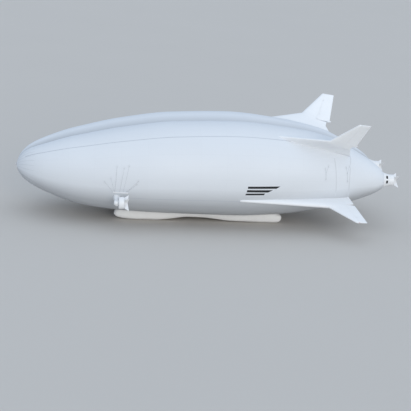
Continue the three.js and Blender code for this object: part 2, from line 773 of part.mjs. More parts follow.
function windowOpening(inset) {
  const { x0, x1, z0, z1 } = DECK_WINDOW;
  return box3(x0 + inset, x1 - inset, -9, 9, z0 + inset, z1 - inset);
}

function slopePoint(share, out) {
  const { sill, brow } = DECK_NOSE;
  const run = [brow - DECK.front, DECK.roof - sill];
  const length = Math.hypot(...run);
  const normal = [-run[1] / length, run[0] / length];
  return [DECK.front + run[0] * share + normal[0] * out, sill + run[1] * share + normal[1] * out];
}

function screenOpening(inset) {
  const { half, low, high } = WINDSCREEN;
  const outline = [
    slopePoint(low + inset, -0.4),
    slopePoint(low + inset, 0.4),
    slopePoint(high - inset, 0.4),
    slopePoint(high - inset, -0.4),
  ];
  return sidePlate(outline, inset - half, half - inset);
}

function glassPane(shell, opening) {
  const slab = sidePlate([
    slopePoint(0, -DECK.wall / 2 - GLASS / 2),
    slopePoint(0, -DECK.wall / 2 + GLASS / 2),
    slopePoint(1, -DECK.wall / 2 + GLASS / 2),
    slopePoint(1, -DECK.wall / 2 - GLASS / 2),
  ], -DECK.half, DECK.half);
  return slab.intersect(opening);
}

// The roof fills the valley between the lobes above the deck.
function buildRoof() {
  const { back, half, roof } = DECK;
  const body = box3(DECK_NOSE.brow, back, -half, half, roof + TOUCH, DECK_TOP.reach);
  add('deck_roof', largest(body.subtract(hullCutter)), 'white_panel');
}

function buildDoor() {
  const { x0, x1, z0, z1, window, paneHeight } = DECK_DOOR;
  const y0 = -DECK.half;
  const y1 = -DECK.half + DECK.wall;
  const pane = [x0 + window, x1 - window, z1 - window - paneHeight, z1 - window];
  const leaf = box3(x0, x1, y0, y1, z0, z1).subtract(box3(pane[0], pane[1], -9, 0, pane[2], pane[3]));
  add('door', leaf, 'white_panel');
  const glass = box3(pane[0] + TOUCH, pane[1] - TOUCH, -9, 0, pane[2] + TOUCH, pane[3] - TOUCH);
  add('door_window', glass.intersect(paneSlice(-1)), 'cockpit_glass');
}

function buildSeat({ side, name }) {
  const { x, y, width } = SEAT;
  const low = DECK.floor + DECK.wall + TOUCH;
  const corners = SEAT_OUTLINE.map((point) => {
    return new THREE.Vector2((x + point.x - MID_X) * M, (low + point.z) * M);
  });
  const shape = new THREE.Shape(corners);
  const geometry = new THREE.ExtrudeGeometry(shape, { depth: width * M, bevelEnabled: false });
  geometry.rotateX(Math.PI / 2);
  geometry.translate(0, (side * y + width / 2) * M, 0);
  add(`seat_${name}`, solid(geometry), 'seat_cloth');
}

function buildConsole() {
  const { x0, x1, half, low, high } = CONSOLE;
  const base = DECK.floor + DECK.wall + TOUCH;
  const outline = [
    [x0, base],
    [x1, base],
    [x1, base + low],
    [x0, base + high],
  ];
  add('instrument_console', sidePlate(outline, -half, half), 'dark_metal');
}

function buildKeel() {
  const { x0, x1, half, low, high } = KEEL;
  add('keel_beam', largest(box3(x0, x1, -half, half, low, high).subtract(hullCutter)), 'grey_panel');
}

function buildModule(name) {
  const { x0, x1, half, low, high, bevel } = MODULES[name];
  const ring = (x, inset) => [
    [x, -half + inset, high],
    [x, half - inset, high],
    [x, half - inset, low + bevel + inset],
    [x, half - bevel - inset, low + inset],
    [x, -half + bevel + inset, low + inset],
    [x, -half + inset, low + bevel + inset],
  ];
  const shape = loft([ring(x0, bevel), ring(x0 + bevel, 0), ring(x1 - bevel, 0), ring(x1, bevel)]);
  add(name, largest(shape.subtract(hullCutter)), 'white_panel');
}

buildNoseFitting();
buildDeck();
buildConsole();
buildKeel();
Object.keys(MODULES).forEach(buildModule);
for (const row of SIDES) {
  buildEnvelope(row);
  buildSkid(row);
  buildFin('upper', row);
  buildFin('lower', row);
  buildPylon(row);
  buildForwardPod(row);
  buildStern(row);
  buildSeat(row);
}

export default airship;
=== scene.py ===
"""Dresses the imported 1:10 hybrid airship with its skins, markings, rigging, propulsors and cabin."""

import math

import bpy
from bpy.props import FloatProperty, FloatVectorProperty, IntProperty, PointerProperty
from mathutils import Euler, Matrix, Vector


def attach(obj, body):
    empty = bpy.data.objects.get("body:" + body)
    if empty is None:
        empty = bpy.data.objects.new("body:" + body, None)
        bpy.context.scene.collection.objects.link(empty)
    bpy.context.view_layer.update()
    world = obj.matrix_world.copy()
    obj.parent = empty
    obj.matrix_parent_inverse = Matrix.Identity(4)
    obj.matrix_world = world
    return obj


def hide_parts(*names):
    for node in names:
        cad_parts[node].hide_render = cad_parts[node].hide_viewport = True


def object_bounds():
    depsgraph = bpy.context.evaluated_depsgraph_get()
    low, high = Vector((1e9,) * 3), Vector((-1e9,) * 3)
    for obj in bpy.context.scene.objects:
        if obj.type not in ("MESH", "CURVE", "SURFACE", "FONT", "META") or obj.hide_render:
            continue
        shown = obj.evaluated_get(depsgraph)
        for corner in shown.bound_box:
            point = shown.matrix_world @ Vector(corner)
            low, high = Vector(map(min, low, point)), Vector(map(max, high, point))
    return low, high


bl_info = {
    "name": "Hybrid airship model",
    "version": (1, 0, 0),
    "blender": (4, 5, 0),
    "location": "3D View > Sidebar > Airship",
    "description": "Builds the visible skins and fittings of a 1:10 airship round its packed model",
    "category": "Object",
}

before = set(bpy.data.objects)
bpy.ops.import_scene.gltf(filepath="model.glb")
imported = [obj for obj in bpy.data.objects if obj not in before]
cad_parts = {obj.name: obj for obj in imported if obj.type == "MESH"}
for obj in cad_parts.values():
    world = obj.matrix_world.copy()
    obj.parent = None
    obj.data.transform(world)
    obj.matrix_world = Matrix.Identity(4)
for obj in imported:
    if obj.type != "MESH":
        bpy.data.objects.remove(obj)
CAD_LOW, CAD_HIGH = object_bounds()

# The tables are full-size metres, x aft from the nose and z up from the floor. The model is 1:10.
M = 0.1
NOSE_FRONT = -0.42
NOSE_HEIGHT = 11.3
MID_X = NOSE_FRONT - CAD_LOW.x / M
SIDES = {"port": -1, "starboard": 1}
# The clearance left between two pieces that touch.
TOUCH = 0.003
# Below this a sine or an angle counts as nothing.
FLAT = 1e-6
# Points of a skin that are closer than this, in the model's metres, become one.
MERGE_GAP = 0.00002

# Each lobe is a row of circles: station, radius, distance from the centre plane, height.
LOBE = [
    (-0.1, 0.15, 0.82, 11.3),
    (2.55, 3.8, 2.2, 11.57),
    (6.95, 5.74, 3.77, 11.62),
    (14.0, 7.98, 4.68, 11.69),
    (24.5, 9.81, 5.38, 12.33),
    (36.8, 10.88, 5.64, 13.05),
    (50.9, 11.19, 5.77, 13.29),
    (63.3, 10.42, 5.24, 13.06),
    (73.9, 8.66, 4.65, 12.81),
    (81.8, 5.6, 5.2, 12.15),
    (87.4, 2.0, 6.65, 11.8),
]
LOBE_FRONT, LOBE_BACK = LOBE[0][0], LOBE[-1][0]
ENVELOPE_WALL = 0.1
GORES = 24
GIRTH_PANEL = 6.0
# The laced strips in the valleys. drape is how closely they follow the lobes' slope.
VALLEY_STRIP = {
    "x": (1.5, 79.0), "half": 0.16, "half_thick": 0.05, "roundness": 2.4, "drape": 0.9, "lift": 0.03,
}

# The three black bars on each side: corners as station and degrees above the lobe's outer side.
STRIPES = [
    [(53.0, -7.3), (60.7, -6.5), (59.8, -9.6), (53.0, -10.0)],
    [(52.9, -11.8), (59.0, -11.6), (57.9, -14.8), (52.8, -14.7)],
    [(52.7, -16.6), (57.2, -16.2), (57.0, -18.6), (52.6, -18.9)],
]
# Their height as a share of a tape's.
STRIPE_SHARE = 0.6

# Tapes over the seams that run along a lobe or round it: paths as stations and degrees.
SEAMS = {
    "long_seams": {
        "finish": "tape",
        "width": 0.16,
        "paths": [
            [
                (2.0, 48), (5.9, 51.6), (14.6, 53), (28.1, 53.4), (37, 53.9), (46.4, 54.7), (60.4, 55),
                (64.75, 54.9), (69.85, 51.7), (74.2, 47.6), (78.2, 49.5),
            ],
            [(25.8, -29), (37, -29.2), (49.2, -28.9), (56.4, -31.2), (63.9, -37)],
        ],
    },
    "girth_seams": {
        "finish": "lacing",
        "width": 0.25,
        "paths": [
            [(73.9, 36.4), (74.45, 4.0), (74.85, -27.0)],
            [(78.3, 50.9), (77.9, 7.0), (78.3, -35.8)],
        ],
    },
}

# Load patches and the foot of each stay that runs down to the forward pylon's rail.
POD_STAYS = [
    ((23.0, 17.6), (22.7, -20.4)),
    ((24.6, 14.4), (23.8, -18.6)),
    ((25.7, 17.2), (24.6, -18.3)),
    ((21.7, 1.2), (22.7, -20.4)),
    ((20.3, -4.2), (22.5, -20.8)),
    ((27.6, -7.1), (25.3, -19.7)),
    ((27.9, -2.8), (25.2, -19.5)),
]
# Y-shaped bridles on the tail: two upper patches, the knot and the foot.
TAIL_BRIDLES = [
    ((71.5, 18.5), (72.3, 22.9), (71.7, 11.0), (71.8, 2.7)),
    ((76.9, 24.8), (77.8, 29.0), (77.2, 13.8), (77.4, 0.2)),
]
STAY = {"r": 0.02, "lift": 0.024, "end_r": 0.055}
PATCH = {"r": 0.34, "stretch": 1.3}

# Turned profiles of the mooring dish and its spindle's ring: x from the nose, and radius.
NOSE_DISH = [
    (0, 0), (0, 0.19), (0.04, 0.22), (0.3, 0.22), (0.34, 0.3), (0.42, 0.57), (0.5, 0.8), (0.62, 0.95),
    (0.78, 0.97), (1.4, 0.95), (1.4, 0),
]
NOSE_RING = {"x": (0.1, 0.18), "r": (0.225, 0.26)}
NOSE_BATTEN = {"x": (0.35, 1.8, 4.2), "degrees": range(-75, 76, 15), "width": 0.08, "height": 0.014}

# Skid sections: station, lowest and highest point, half width.
SKID_Y = 5.5
SKID = [
    (23.1, 1.1, 1.7, 0.4),
    (23.55, 0.68, 2.35, 0.85),
    (24.7, 0.3, 3.2, 1.15),
    (26.4, 0.06, 3.3, 1.25),
    (29.5, -0.03, 3.3, 1.3),
    (33.0, -0.02, 3.2, 1.3),
    (35.6, 0.22, 3.1, 1.25),
    (37.9, 0.56, 3.0, 1.15),
    (40.4, 0.9, 3.0, 1.05),
    (44.0, 0.87, 3.0, 1.05),
    (47.4, 0.56, 3.0, 1.1),
    (51.0, 0.17, 3.0, 1.2),
    (55.0, 0.06, 3.0, 1.25),
    (59.0, -0.03, 3.1, 1.3),
    (62.0, -0.02, 2.5, 1.2),
    (63.1, 0.25, 2.05, 0.95),
    (63.6, 0.75, 1.6, 0.45),
]
SKID_ROUNDNESS = 2.8
# Girth bands, which leave the sole bare, and the seams along both sides. Turns are in radians.
SKID_BAND = {
    "x": (26.4, 30.8, 35.2, 39.6, 44.0, 48.4, 52.8, 57.2, 61.0),
    "turn": (-0.2 * math.pi, 1.2 * math.pi),
    "width": 0.3,
    "height": 0.008,
}
SKID_SEAM = {"turns": (0.0, math.pi), "half": 0.02, "drop": 0.12, "end": 0.6, "height": 0.01}

# Fin sections from inside the hull to the tip: leading edge, trailing edge, thickness.
FINS = {
    "upper": {
        "sections": [
            ((60.0, 9.4, 20.7), (77.4, 7.5, 16.3), 2.4),
            ((60.0, 10.2, 22.45), (78.2, 9.3, 18.1), 2.0),
            ((63.3, 11.9, 22.6), (77.7, 11.0, 19.3), 1.3),
            ((71.3, 15.95, 23.05), (77.1, 12.9, 20.5), 1.0),
            ((76.88, 19.05, 27.62), (79.87, 18.68, 27.39), 0.4),
        ],
        "rudder": {"foot": (75.3, 14.15, 21.6), "top": (77.64, 18.96, 27.56), "chords": (2.9, 2.25)},
    },
    "lower": {
        "sections": [
            ((51.5, 13.9, 8.9), (78.3, 8.4, 8.9), 1.25),
            ((51.5, 15.9, 8.05), (78.6, 10.6, 8.25), 1.25),
            ((72.6, 15.6, 7.1), (79.15, 14.6, 7.3), 0.85),
            ((77.8, 21.75, 5.45), (80.5, 21.75, 5.35), 0.4),
        ],
        "rudder": {"foot": (76.84, 14.4, 7.33), "top": (78.8, 21.75, 5.41), "chords": (2.3, 1.7)},
    },
}
FIN_STEPS = 5
# How far the cutter that makes room for the rudder reaches past the fin.
FIN_CUT = 2.0
# The rounded tip: how far out each ring is, and the share of the thickness that it keeps.
FIN_TIP = [(0, 1.0), (0.06, 0.85), (0.1, 0.5)]
FIN_TIP_CHORD = 0.9
# Seams of a fin's UV map: a panel's length up the fin, panels along the chord, and each face's shift.
FIN_SEAMS = {"panel": 1.6, "chord": 1.6, "face": 0.25}
RUDDER_SEAMS = {"up": 0.5, "chord": 0.3}
# The rudder's nose as a share of the fin's thickness at its foot and at its top.
RUDDER_NOSE = (0.42, 0.3)
RUDDER_EDGE = 0.05
RUDDER_GAP = 0.025
RUDDER_LUG = {"at": (0.22, 0.74), "width": 0.08, "back": 0.06, "root": 0.15, "half": 0.08}
RUDDER_SLOT = {"width": 0.12, "deep": 0.11}
RUDDER_PIN = {"r": 0.025, "gap": 0.002}
# The teardrop at the foot of an upper rudder's trailing edge: its turned profile and its place.
FOOT_FAIRING = {
    "profile": [
        (-0.6, 0), (-0.54, 0.11), (-0.38, 0.22), (-0.06, 0.28), (0.26, 0.23), (0.55, 0.1), (0.7, 0),
    ],
    "chord": 0.93,
    "rise": -0.06,
    "out": 0.16,
}
GAP_SEAL = {
    "lap": 0.2, "reach": 0.2, "stand_off": 0.026, "half_thick": 0.012, "end": 0.04, "roundness": 3,
}
# Ties from the hull to both faces of a fin, at shares of its root chord.
FIN_TIE = {"count": 9, "shares": (0.12, 0.9), "below": 0.2, "above": 0.9, "inset": 0.02, "r": 0.025}

# One propulsor, with x from the duct's front edge and r from the shaft.
NACELLE_R = 0.62
# The cowl's turned profile from the intake's lip to the tail, and forward again inside.
NACELLE_PROFILE = [
    (-1.1, 0.36), (-1.07, 0.41), (-1.0, 0.48), (-0.9, 0.55), (-0.78, 0.61), (-0.6, NACELLE_R),
    (-0.02, NACELLE_R), (0.08, 0.57), (0.25, 0.43), (0.42, 0.3), (0.42, 0.11), (0.35, 0.11),
    (0.16, 0.53), (-0.74, 0.55), (-0.98, 0.34), (-1.08, 0.33), (-1.1, 0.36),
]
STRAP = {"x": (-0.62, -0.12), "wide": 0.05, "proud": 0.012}
HATCH = {"x": (-0.55, -0.2), "y": 0.22, "half": 0.16, "sunk": 0.03, "proud": 0.005, "edge": 0.008}
SCOOP = {"x": (-0.7, 0.0), "half": 0.14, "sunk": 0.06, "proud": 0.14, "edge": 0.04}
EXHAUST = {"foot": (-0.1, 0.35, -0.48), "run": (0.45, 0.06, -0.16), "r": 0.07}
EXHAUST_BORE = {"r": 0.055, "from": 0.8, "proud": 0.004}
# The grille's bars, its rim and the turned hub of the starter behind it.
GRILLE = {"x": -0.96, "r": 0.31, "bars": 7, "bar_r": 0.013, "rim_x": (-0.98, -0.94), "rim": 0.02}
STARTER_PROFILE = [(-0.99, 0), (-0.97, 0.07), (-0.9, 0.11), (-0.76, 0.11), (-0.76, 0)]
# The duct's turned profile from its lip over the outside to its rear edge, and forward inside.
DUCT_R = 1.38
DUCT_PROFILE = [
    (0, 1.325), (0.02, 1.355), (0.07, 1.365), (0.16, DUCT_R), (0.6, DUCT_R), (1.02, 1.35),
    (1.2, 1.3), (1.2, 1.27), (0.36, 1.27), (0.08, 1.28), (0.02, 1.305), (0, 1.325),
]
STRUT = {"count": 4, "x": (0.07, 0.36), "r": (0.34, 1.3), "half_thick": 0.045}
VANE = {"count": 4, "front": 1.24, "heel_x": 2.0, "tip_x": 2.28, "tip_r": 2.05, "thick": 0.07}
VANE_ENDS = {"root": 0.05, "tip": 0.03, "slim": 0.4}
VANE_HUB = [(1.24, 0), (1.24, 0.16), (2.0, 0.064), (2.06, 0)]
PROPELLER = {"x": 0.72, "blades": 3}
HUB_PROFILE = [
    (0.09, 0), (0.09, 0.06), (0.5, 0.06), (0.5, 0.18), (0.52, 0.2), (0.82, 0.2), (0.9, 0.176),
    (0.97, 0.132), (1.03, 0.068), (1.06, 0),
]
# Blade sections: radius, chord, thickness, pitch in degrees.
BLADE = [
    (0.1, 0.24, 0.09, 62),
    (0.45, 0.34, 0.06, 42),
    (0.85, 0.32, 0.045, 27),
    (1.21, 0.2, 0.025, 20),
]
# The rounded tip: the share of the blade that it takes, and the share of the chord left at its end.
BLADE_TIP = {"share": 0.1, "end": 0.25}

POD = (23.6, 16.9, 7.2)
PYLON = {
    "root": {"y": 12.6, "x": (22.2, 24.6), "z": (6.4, 9.3), "roundness": 4.5},
    "tip": {"y": 15.4, "x": (22.72, 23.48), "z": (6.82, 7.58), "roundness": 2.4},
    "ease": 0.85,
}
PYLON_RAIL = {"x": (22.3, 25.7), "z": (8.75, 9.1), "rise": 0.2, "half": 0.4, "roundness": 6}
# The trunnion's housing on the pylon and its shaft on the pod: distance outboard, and radius.
TRUNNION_X = 23.1
HOUSING_PROFILE = [(15.3, 0), (15.3, 0.38), (15.35, 0.42), (15.85, 0.42), (15.9, 0.38), (15.9, 0)]
SHAFT_PROFILE = [(15.903, 0), (15.903, 0.22), (16.22, 0.22), (16.34, 0.3), (16.34, 0)]

STERN = {"x": 88.95, "y": 6.7, "z": 11.8}
# The stern fairing's turned profile from the hull back to the duct, and forward again inside.
STERN_PROFILE = [
    (-1.15, 1.76), (-0.76, 1.62), (-0.38, 1.5), (-0.03, 1.43), (-0.003, 1.4), (-0.003, 1.29),
    (-0.8, 1.37), (-1.05, 0.84), (-0.5, 0.76),
]
STERN_INLET = {
    "degrees": (-5, 40, 140, 185), "x": (-0.93, -0.4), "r": (1.0, 2.0), "half": 0.4, "edge": 0.06,
}
# A dark sheet at the bottom of each inlet: painted shade for the inside of the hole.
STERN_INLET_SHADE = {"r": (1.1, 1.16), "lap": 0.1}

DECK = {"front": 24.6, "half": 1.4, "floor": 1.1, "roof": 3.05, "wall": 0.12}
DECK_NOSE = {"sill": 1.95, "brow": 25.35}
DECK_WINDOW = {"x": (26.0, 28.6), "z": (1.98, 2.72), "seal": 0.07}
DOOR_WINDOW = {"x": (29.5, 29.9), "z": (2.12, 2.54), "seal": 0.04}
WINDOW_SEAL = {"thick": 0.02, "edge": 0.005}
# The door's handle and hinges. out is how far a limit stands out of the wall.
DOOR_HANDLE = {
    "plate": {"x": (29.96, 30.04), "out": (0.02, 0.0), "z": (1.9, 2.08), "edge": 0.006},
    "lever": {"x": (29.86, 30.03), "out": (0.06, 0.035), "z": (1.97, 2.01), "edge": 0.008},
}
DOOR_SPINDLE = {"x": 30.0, "out": (0.05, 0.0), "z": 1.99, "r": 0.015}
DOOR_HINGE = {"z": (1.5, 2.5), "x": (29.1, 29.26), "thick": 0.015, "half": 0.06, "edge": 0.005}
HINGE_BARREL = {"out": 0.02, "half": 0.09, "r": 0.02}
# The windscreen's seal and posts: shares up its slope, and distances from the centre plane.
SCREEN = {
    "shares": (0.14, 0.9), "lap": 0.05, "half": 1.12, "width": 0.05, "post": (0.36, 0.42),
    "proud": 0.02,
}
LANDING_LAMP = {"y": (-0.75, -0.35, 0.35, 0.75), "z": 1.72, "sunk": 0.005, "r": 0.075}
LAMP_BEZEL = {"x": (-0.02, 0.02), "r": (0.075, 0.1)}

# The seats: x from their front, inset from their sides, and z from the top of the pan.
SEAT = {"x": 27.0, "y": 0.62, "half": 0.26, "pan": 0.42}
SEAT_SHELL = {
    "pedestal": {"x": (0.12, 0.38), "inset": 0.1, "z": (-0.42, -0.06), "edge": 0.01},
    "tray": {"x": (0.0, 0.56), "inset": 0.0, "z": (-0.07, 0.0), "edge": 0.015},
    "backboard": {"x": (0.6, 0.66), "inset": 0.0, "z": (0.0, 0.72), "edge": 0.015},
}
SEAT_ARMREST = {"x": (0.12, 0.6), "wide": 0.05, "z": (0.22, 0.27), "edge": 0.01}
SEAT_PADS = {
    "pan": {"x": (0.02, 0.5), "inset": 0.06, "z": (0.005, 0.1), "crown": 0.022},
    "back": {"x": (0.51, 0.598), "inset": 0.06, "z": (0.11, 0.7), "crown": 0.02},
}
PAD_CUTS = 5

MODULES = {
    "payload_module": {"x": (36.0, 45.0), "half": 1.4, "z": (1.45, 3.16)},
    "fuel_module": {"x": (54.0, 63.0), "half": 1.25, "z": (1.6, 3.16)},
}
MODULE_BAND = {
    "count": 4, "end": 1.2, "half": 0.06, "proud": 0.015, "foot": 0.35, "head": 0.03, "corner": 0.36,
    "edge": 0.005,
}
MODULE_HATCH = {
    "count": 3, "end": 2.2, "half_long": 0.5, "half_wide": 0.55, "proud": 0.02, "sunk": 0.01,
    "edge": 0.01,
}

# Lamps on the fins' tips, at a share of the tip's chord.
TIP_LAMP_SHARE = 0.3
TIP_LAMPS = {
    "lower": {"piece": "tip_lamp", "out": 0.08, "up": 0.0, "r": 0.07},
    "upper": {"piece": "upper_tip_lamp", "out": 0.06, "up": 0.08, "r": 0.06},
}
LAMP_COLOURS = {
    "lower": {"port": "red", "starboard": "green"},
    "upper": {"port": "clear", "starboard": "clear"},
}

# Rings and sides of each lofted skin, or cells along and across each sheet that is laid on one.
DIVISIONS = {
    "long_seams": (90, 2),
    "girth_seams": (40, 2),
    "valley_strip": (90, 12),
    "stripe": (40, 6),
    "patch": (10, 10),
    "stay": (14, 6),
    "batten": (14, 2),
    "rudder": (13, 32),
    "gap_seal": (9, 16),
    "skid": (72, 48),
    "skid_band": (36, 2),
    "skid_seam": (80, 2),
    "strut": (2, 16),
    "vane": (12, 20),
    "blade": (14, 20),
    "pylon": (14, 40),
    "pylon_rail": (12, 24),
}
FIN_SIDES = 40

# Rounded edges: their width, and the angle in degrees from which an edge is rounded.
ROUNDING = {
    "nose_dish": (0.015, 25),
    "fin": (0.012, 50),
    "rudder": (0.01, 50),
    "lug": (0.008, 30),
    "propulsor": (0.006, 40),
    "pylon": (0.01, 40),
    "stern": (0.012, 40),
}

# The CAD nodes that stay in view, by their finish.
NODE_FINISHES = {
    "panel": [
        "deck_front", "deck_side_port", "deck_side_starboard", "deck_roof", "door", "payload_module",
        "fuel_module",
    ],
    "trim": ["deck_floor", "deck_rear_bulkhead", "keel_beam"],
    "glass": ["windscreen", "side_window_port", "side_window_starboard", "door_window"],
    "dark": [
        "instrument_console", "engine_block_forward_port", "engine_block_forward_starboard",
        "engine_block_stern_port", "engine_block_stern_starboard",
    ],
}

# Painted, moulded and taped finishes. The grain's depth is in the model's metres.
COATS = {
    "fin_trim": {"name": "fin_trim", "roughness": 0.5, "grain": 160, "depth": 0.0003, "dirt": 0.04},
    "tape": {"name": "seam_tape", "roughness": 0.5, "grain": 160, "depth": 0.0003, "dirt": 0.05},
    "lacing": {"name": "lacing_strip", "roughness": 0.5, "grain": 160, "depth": 0.0003, "dirt": 0.05},
    "patch": {"name": "load_patch", "roughness": 0.55, "grain": 220, "depth": 0.0003, "dirt": 0.04},
    "stripe": {"name": "stripe_vinyl", "roughness": 0.42, "grain": 200, "depth": 0.0002, "dirt": 0.25},
    "panel": {"name": "white_paint", "roughness": 0.36, "grain": 90, "depth": 0.0002, "dirt": 0.05},
    "trim": {"name": "grey_paint", "roughness": 0.45, "grain": 90, "depth": 0.0003, "dirt": 0.1},
    "dark": {"name": "dark_composite", "roughness": 0.4, "grain": 140, "depth": 0.0003, "dirt": 0.3},
    "rubber": {"name": "rubber_seal", "roughness": 0.7, "grain": 260, "depth": 0.0003, "dirt": 0.2},
    "steel": {
        "name": "brushed_steel", "roughness": 0.32, "grain": 180, "depth": 0.0002, "dirt": 0.2,
        "metallic": 0.9,
    },
    "stay": {"name": "stay_line", "roughness": 0.55, "grain": 400, "depth": 0.0002, "dirt": 0.15},
}
FITTING_COLOURS = {
    "rubber": (0.02, 0.02, 0.021, 1),
    "steel": (0.45, 0.46, 0.48, 1),
    "stay": (0.40, 0.42, 0.45, 1),
    "seat": (0.07, 0.08, 0.1, 1),
    "glass": (0.03, 0.045, 0.055, 1),
    "red": (0.6, 0.02, 0.015, 1),
    "green": (0.015, 0.4, 0.08, 1),
    "clear": (0.85, 0.87, 0.9, 1),
}

# The photograph's camera: full-size places, and degrees. The suns' angles are degrees too.
CAMERA = {
    "place": (12.13, -250.083, 75.867), "aim": (45.708, 0.0, 2.143), "roll": 3.705, "view": 21.7507,
}
VIEW_DEPTH = 2000
FLOOR_SIZE = 600
SUN_HEIGHT = 10
SUNS = {
    "key": {"azimuth": 14, "elevation": 13, "colour": (1.0, 0.94, 0.84), "size": 35},
    "top": {"azimuth": 0, "elevation": 80, "colour": (0.8, 0.9, 1.0), "size": 70},
}


# What all colour settings share.
COLOUR = {"subtype": "COLOR", "size": 4, "min": 0, "max": 1}


class AirshipFinishes(bpy.types.PropertyGroup):
    """Colours of the airship's finishes"""

    laminate: FloatVectorProperty(
        name="Envelope", description="Colour of the envelope's laminate",
        default=(0.78, 0.81, 0.85, 1), **COLOUR,
    )
    # Whiter paint than the envelope, lightened further as painted light for the light that the hull
    # throws onto the fins.
    fin: FloatVectorProperty(
        name="Fins", description="Colour of the fins and rudders",
        default=(0.92, 0.935, 0.955, 1), **COLOUR,
    )
    tape: FloatVectorProperty(
        name="Seam tape", description="Colour of the tapes over the seams",
        default=(0.57, 0.60, 0.65, 1), **COLOUR,
    )
    skid: FloatVectorProperty(
        name="Skid fabric", description="Colour of the rubberised skid fabric",
        default=(0.93, 0.93, 0.925, 1), **COLOUR,
    )
    stripe: FloatVectorProperty(
        name="Stripes", description="Colour of the three bars on each side",
        default=(0.012, 0.013, 0.016, 1), **COLOUR,
    )
    panel: FloatVectorProperty(
        name="White panels", description="Colour of the painted composite panels",
        default=(0.88, 0.89, 0.905, 1), **COLOUR,
    )
    trim: FloatVectorProperty(
        name="Grey panels", description="Colour of the grey composite panels",
        default=(0.42, 0.44, 0.47, 1), **COLOUR,
    )
    dark: FloatVectorProperty(
        name="Dark metal", description="Colour of propellers and engines",
        default=(0.028, 0.030, 0.033, 1), **COLOUR,
    )


class AirshipDetail(bpy.types.PropertyGroup):
    """How finely the skins are divided, and how thick the applied tapes are"""

    hull_rings: IntProperty(
        name="Hull rings", description="Rings along each lobe", default=110, min=25, max=200,
    )
    hull_sides: IntProperty(
        name="Hull sides", description="Sides round each lobe", default=120, min=36, max=200,
    )
    tape_height: FloatProperty(
        name="Tape height", description="How proud the tapes and patches stand", subtype="DISTANCE",
        unit="LENGTH", default=0.0008, min=0.0002, max=0.003,
    )


class AirshipStage(bpy.types.PropertyGroup):
    """The floor and the light"""

    floor: FloatVectorProperty(
        name="Floor", description="Colour of the floor",
        default=(0.64, 0.605, 0.565, 1), **COLOUR,
    )
    sky: FloatVectorProperty(
        name="Fill light", description="Colour of the light from all round",
        default=(0.73, 0.845, 1.0, 1), **COLOUR,
    )
    sky_strength: FloatProperty(
        name="Fill strength", description="Strength of the light from all round", default=0.75,
        min=0, max=4,
    )
    key_strength: FloatProperty(
        name="Key strength", description="Strength of the key light", default=1.1, min=0, max=10,
    )
    top_strength: FloatProperty(
        name="Top strength", description="Strength of the light from above", default=0.36,
        min=0, max=10,
    )


# Curves and places

def curve_through(rows, column):
    """A smooth curve through one column of a table of stations, with no overshoot."""
    xs = [row[0] for row in rows]
    ys = [column(row) for row in rows]
    slopes = [(b - a) / (d - c) for a, b, c, d in zip(ys, ys[1:], xs, xs[1:])]
    tangents = [slopes[0]]
    for before, after in zip(slopes, slopes[1:]):
        tangents.append(0 if before * after <= 0 else 2 / (1 / before + 1 / after))
    tangents.append(slopes[-1])

    def value(x):
        i = 0
        while i < len(xs) - 2 and x > xs[i + 1]:
            i += 1
        width = xs[i + 1] - xs[i]
        t = (x - xs[i]) / width
        rise = ys[i + 1] - ys[i]
        start, end = tangents[i] * width, tangents[i + 1] * width
        square, cube = 3 * rise - 2 * start - end, start + end - 2 * rise
        return ys[i] + start * t + square * t**2 + cube * t**3

    return value


LOBE_AREA = curve_through(LOBE, lambda row: row[1] ** 2)
LOBE_OFFSET = curve_through(LOBE, lambda row: row[2])
LOBE_HEIGHT = curve_through(LOBE, lambda row: row[3])


def lobe_at(x):
    """Radius, distance from the centre plane and height of a lobe at a station."""
    return math.sqrt(LOBE_AREA(x)), LOBE_OFFSET(x), LOBE_HEIGHT(x)


def place(x, y, z):
    """A full-size point in the model's metres."""
    return Vector(((x - MID_X) * M, y * M, z * M))


def local(x, y, z):
    """A full-size point in the model's metres, for a part that is modelled at the origin."""
    return Vector((x, y, z)) * M


def mix(a, b, share):
    """A number on the way from a to b."""
    return a + (b - a) * share


def about(middle, half):
    """The limits of what reaches as far to both sides of a middle."""
    return middle - half, middle + half


def shifted(limits, start):
    """Limits that a table gives from a start."""
    return start + limits[0], start + limits[1]


def spread(start, end, count):
    """Evenly spaced numbers from start to end, both included."""
    return [mix(start, end, i / (count - 1)) for i in range(count)]


def bunched(start, end, count):
    """Numbers from start to end, both included, that lie closer together towards both."""
    return [mix(start, end, (1 - math.cos(math.pi * i / (count - 1))) / 2) for i in range(count)]


def skin(side, x, angle, out=0.0):
    """A point on a lobe's skin, or out from it, at a station and an angle up from its outer side."""
    probe = 0.01
    r, c, z = lobe_at(x)
    inside = min(max(x, LOBE_FRONT + probe), LOBE_BACK - probe)
    slope = (lobe_at(inside + probe)[0] - lobe_at(inside - probe)[0]) / (2 * probe)
    length = math.hypot(1, slope)
    radius = r + out / length
    across, up = c + radius * math.cos(angle), z + radius * math.sin(angle)
    return place(x - out * slope / length, side * across, up)


def on_lobe(side, spot, out=0.0):
    """A point on a lobe's skin, or out from it, at a spot given as station and degrees."""
    return skin(side, spot[0], math.radians(spot[1]), out)


def rounded(angle, half_wide, half_high, power):
    """A point of a rounded rectangle at an angle from its middle."""
    cosine, sine = math.cos(angle), math.sin(angle)
    across = math.copysign(abs(cosine) ** (2 / power), cosine)
    up = math.copysign(abs(sine) ** (2 / power), sine)
    return half_wide * across, half_high * up


def airfoil(share):
    """Half thickness of a symmetric section along its chord, as a share of the largest."""
    front = 2.969 * math.sqrt(share) - 1.26 * share - 3.516 * share**2
    return front + 2.843 * share**3 - 1.036 * share**4 + 0.1 * share


def section_at(angle):
    """A point at an angle round a symmetric section: share of the chord, and half thickness."""
    share = (1 - math.cos(angle)) / 2
    sine = math.sin(angle)
    return share, math.copysign(airfoil(share), sine) if abs(sine) > FLAT else 0.0


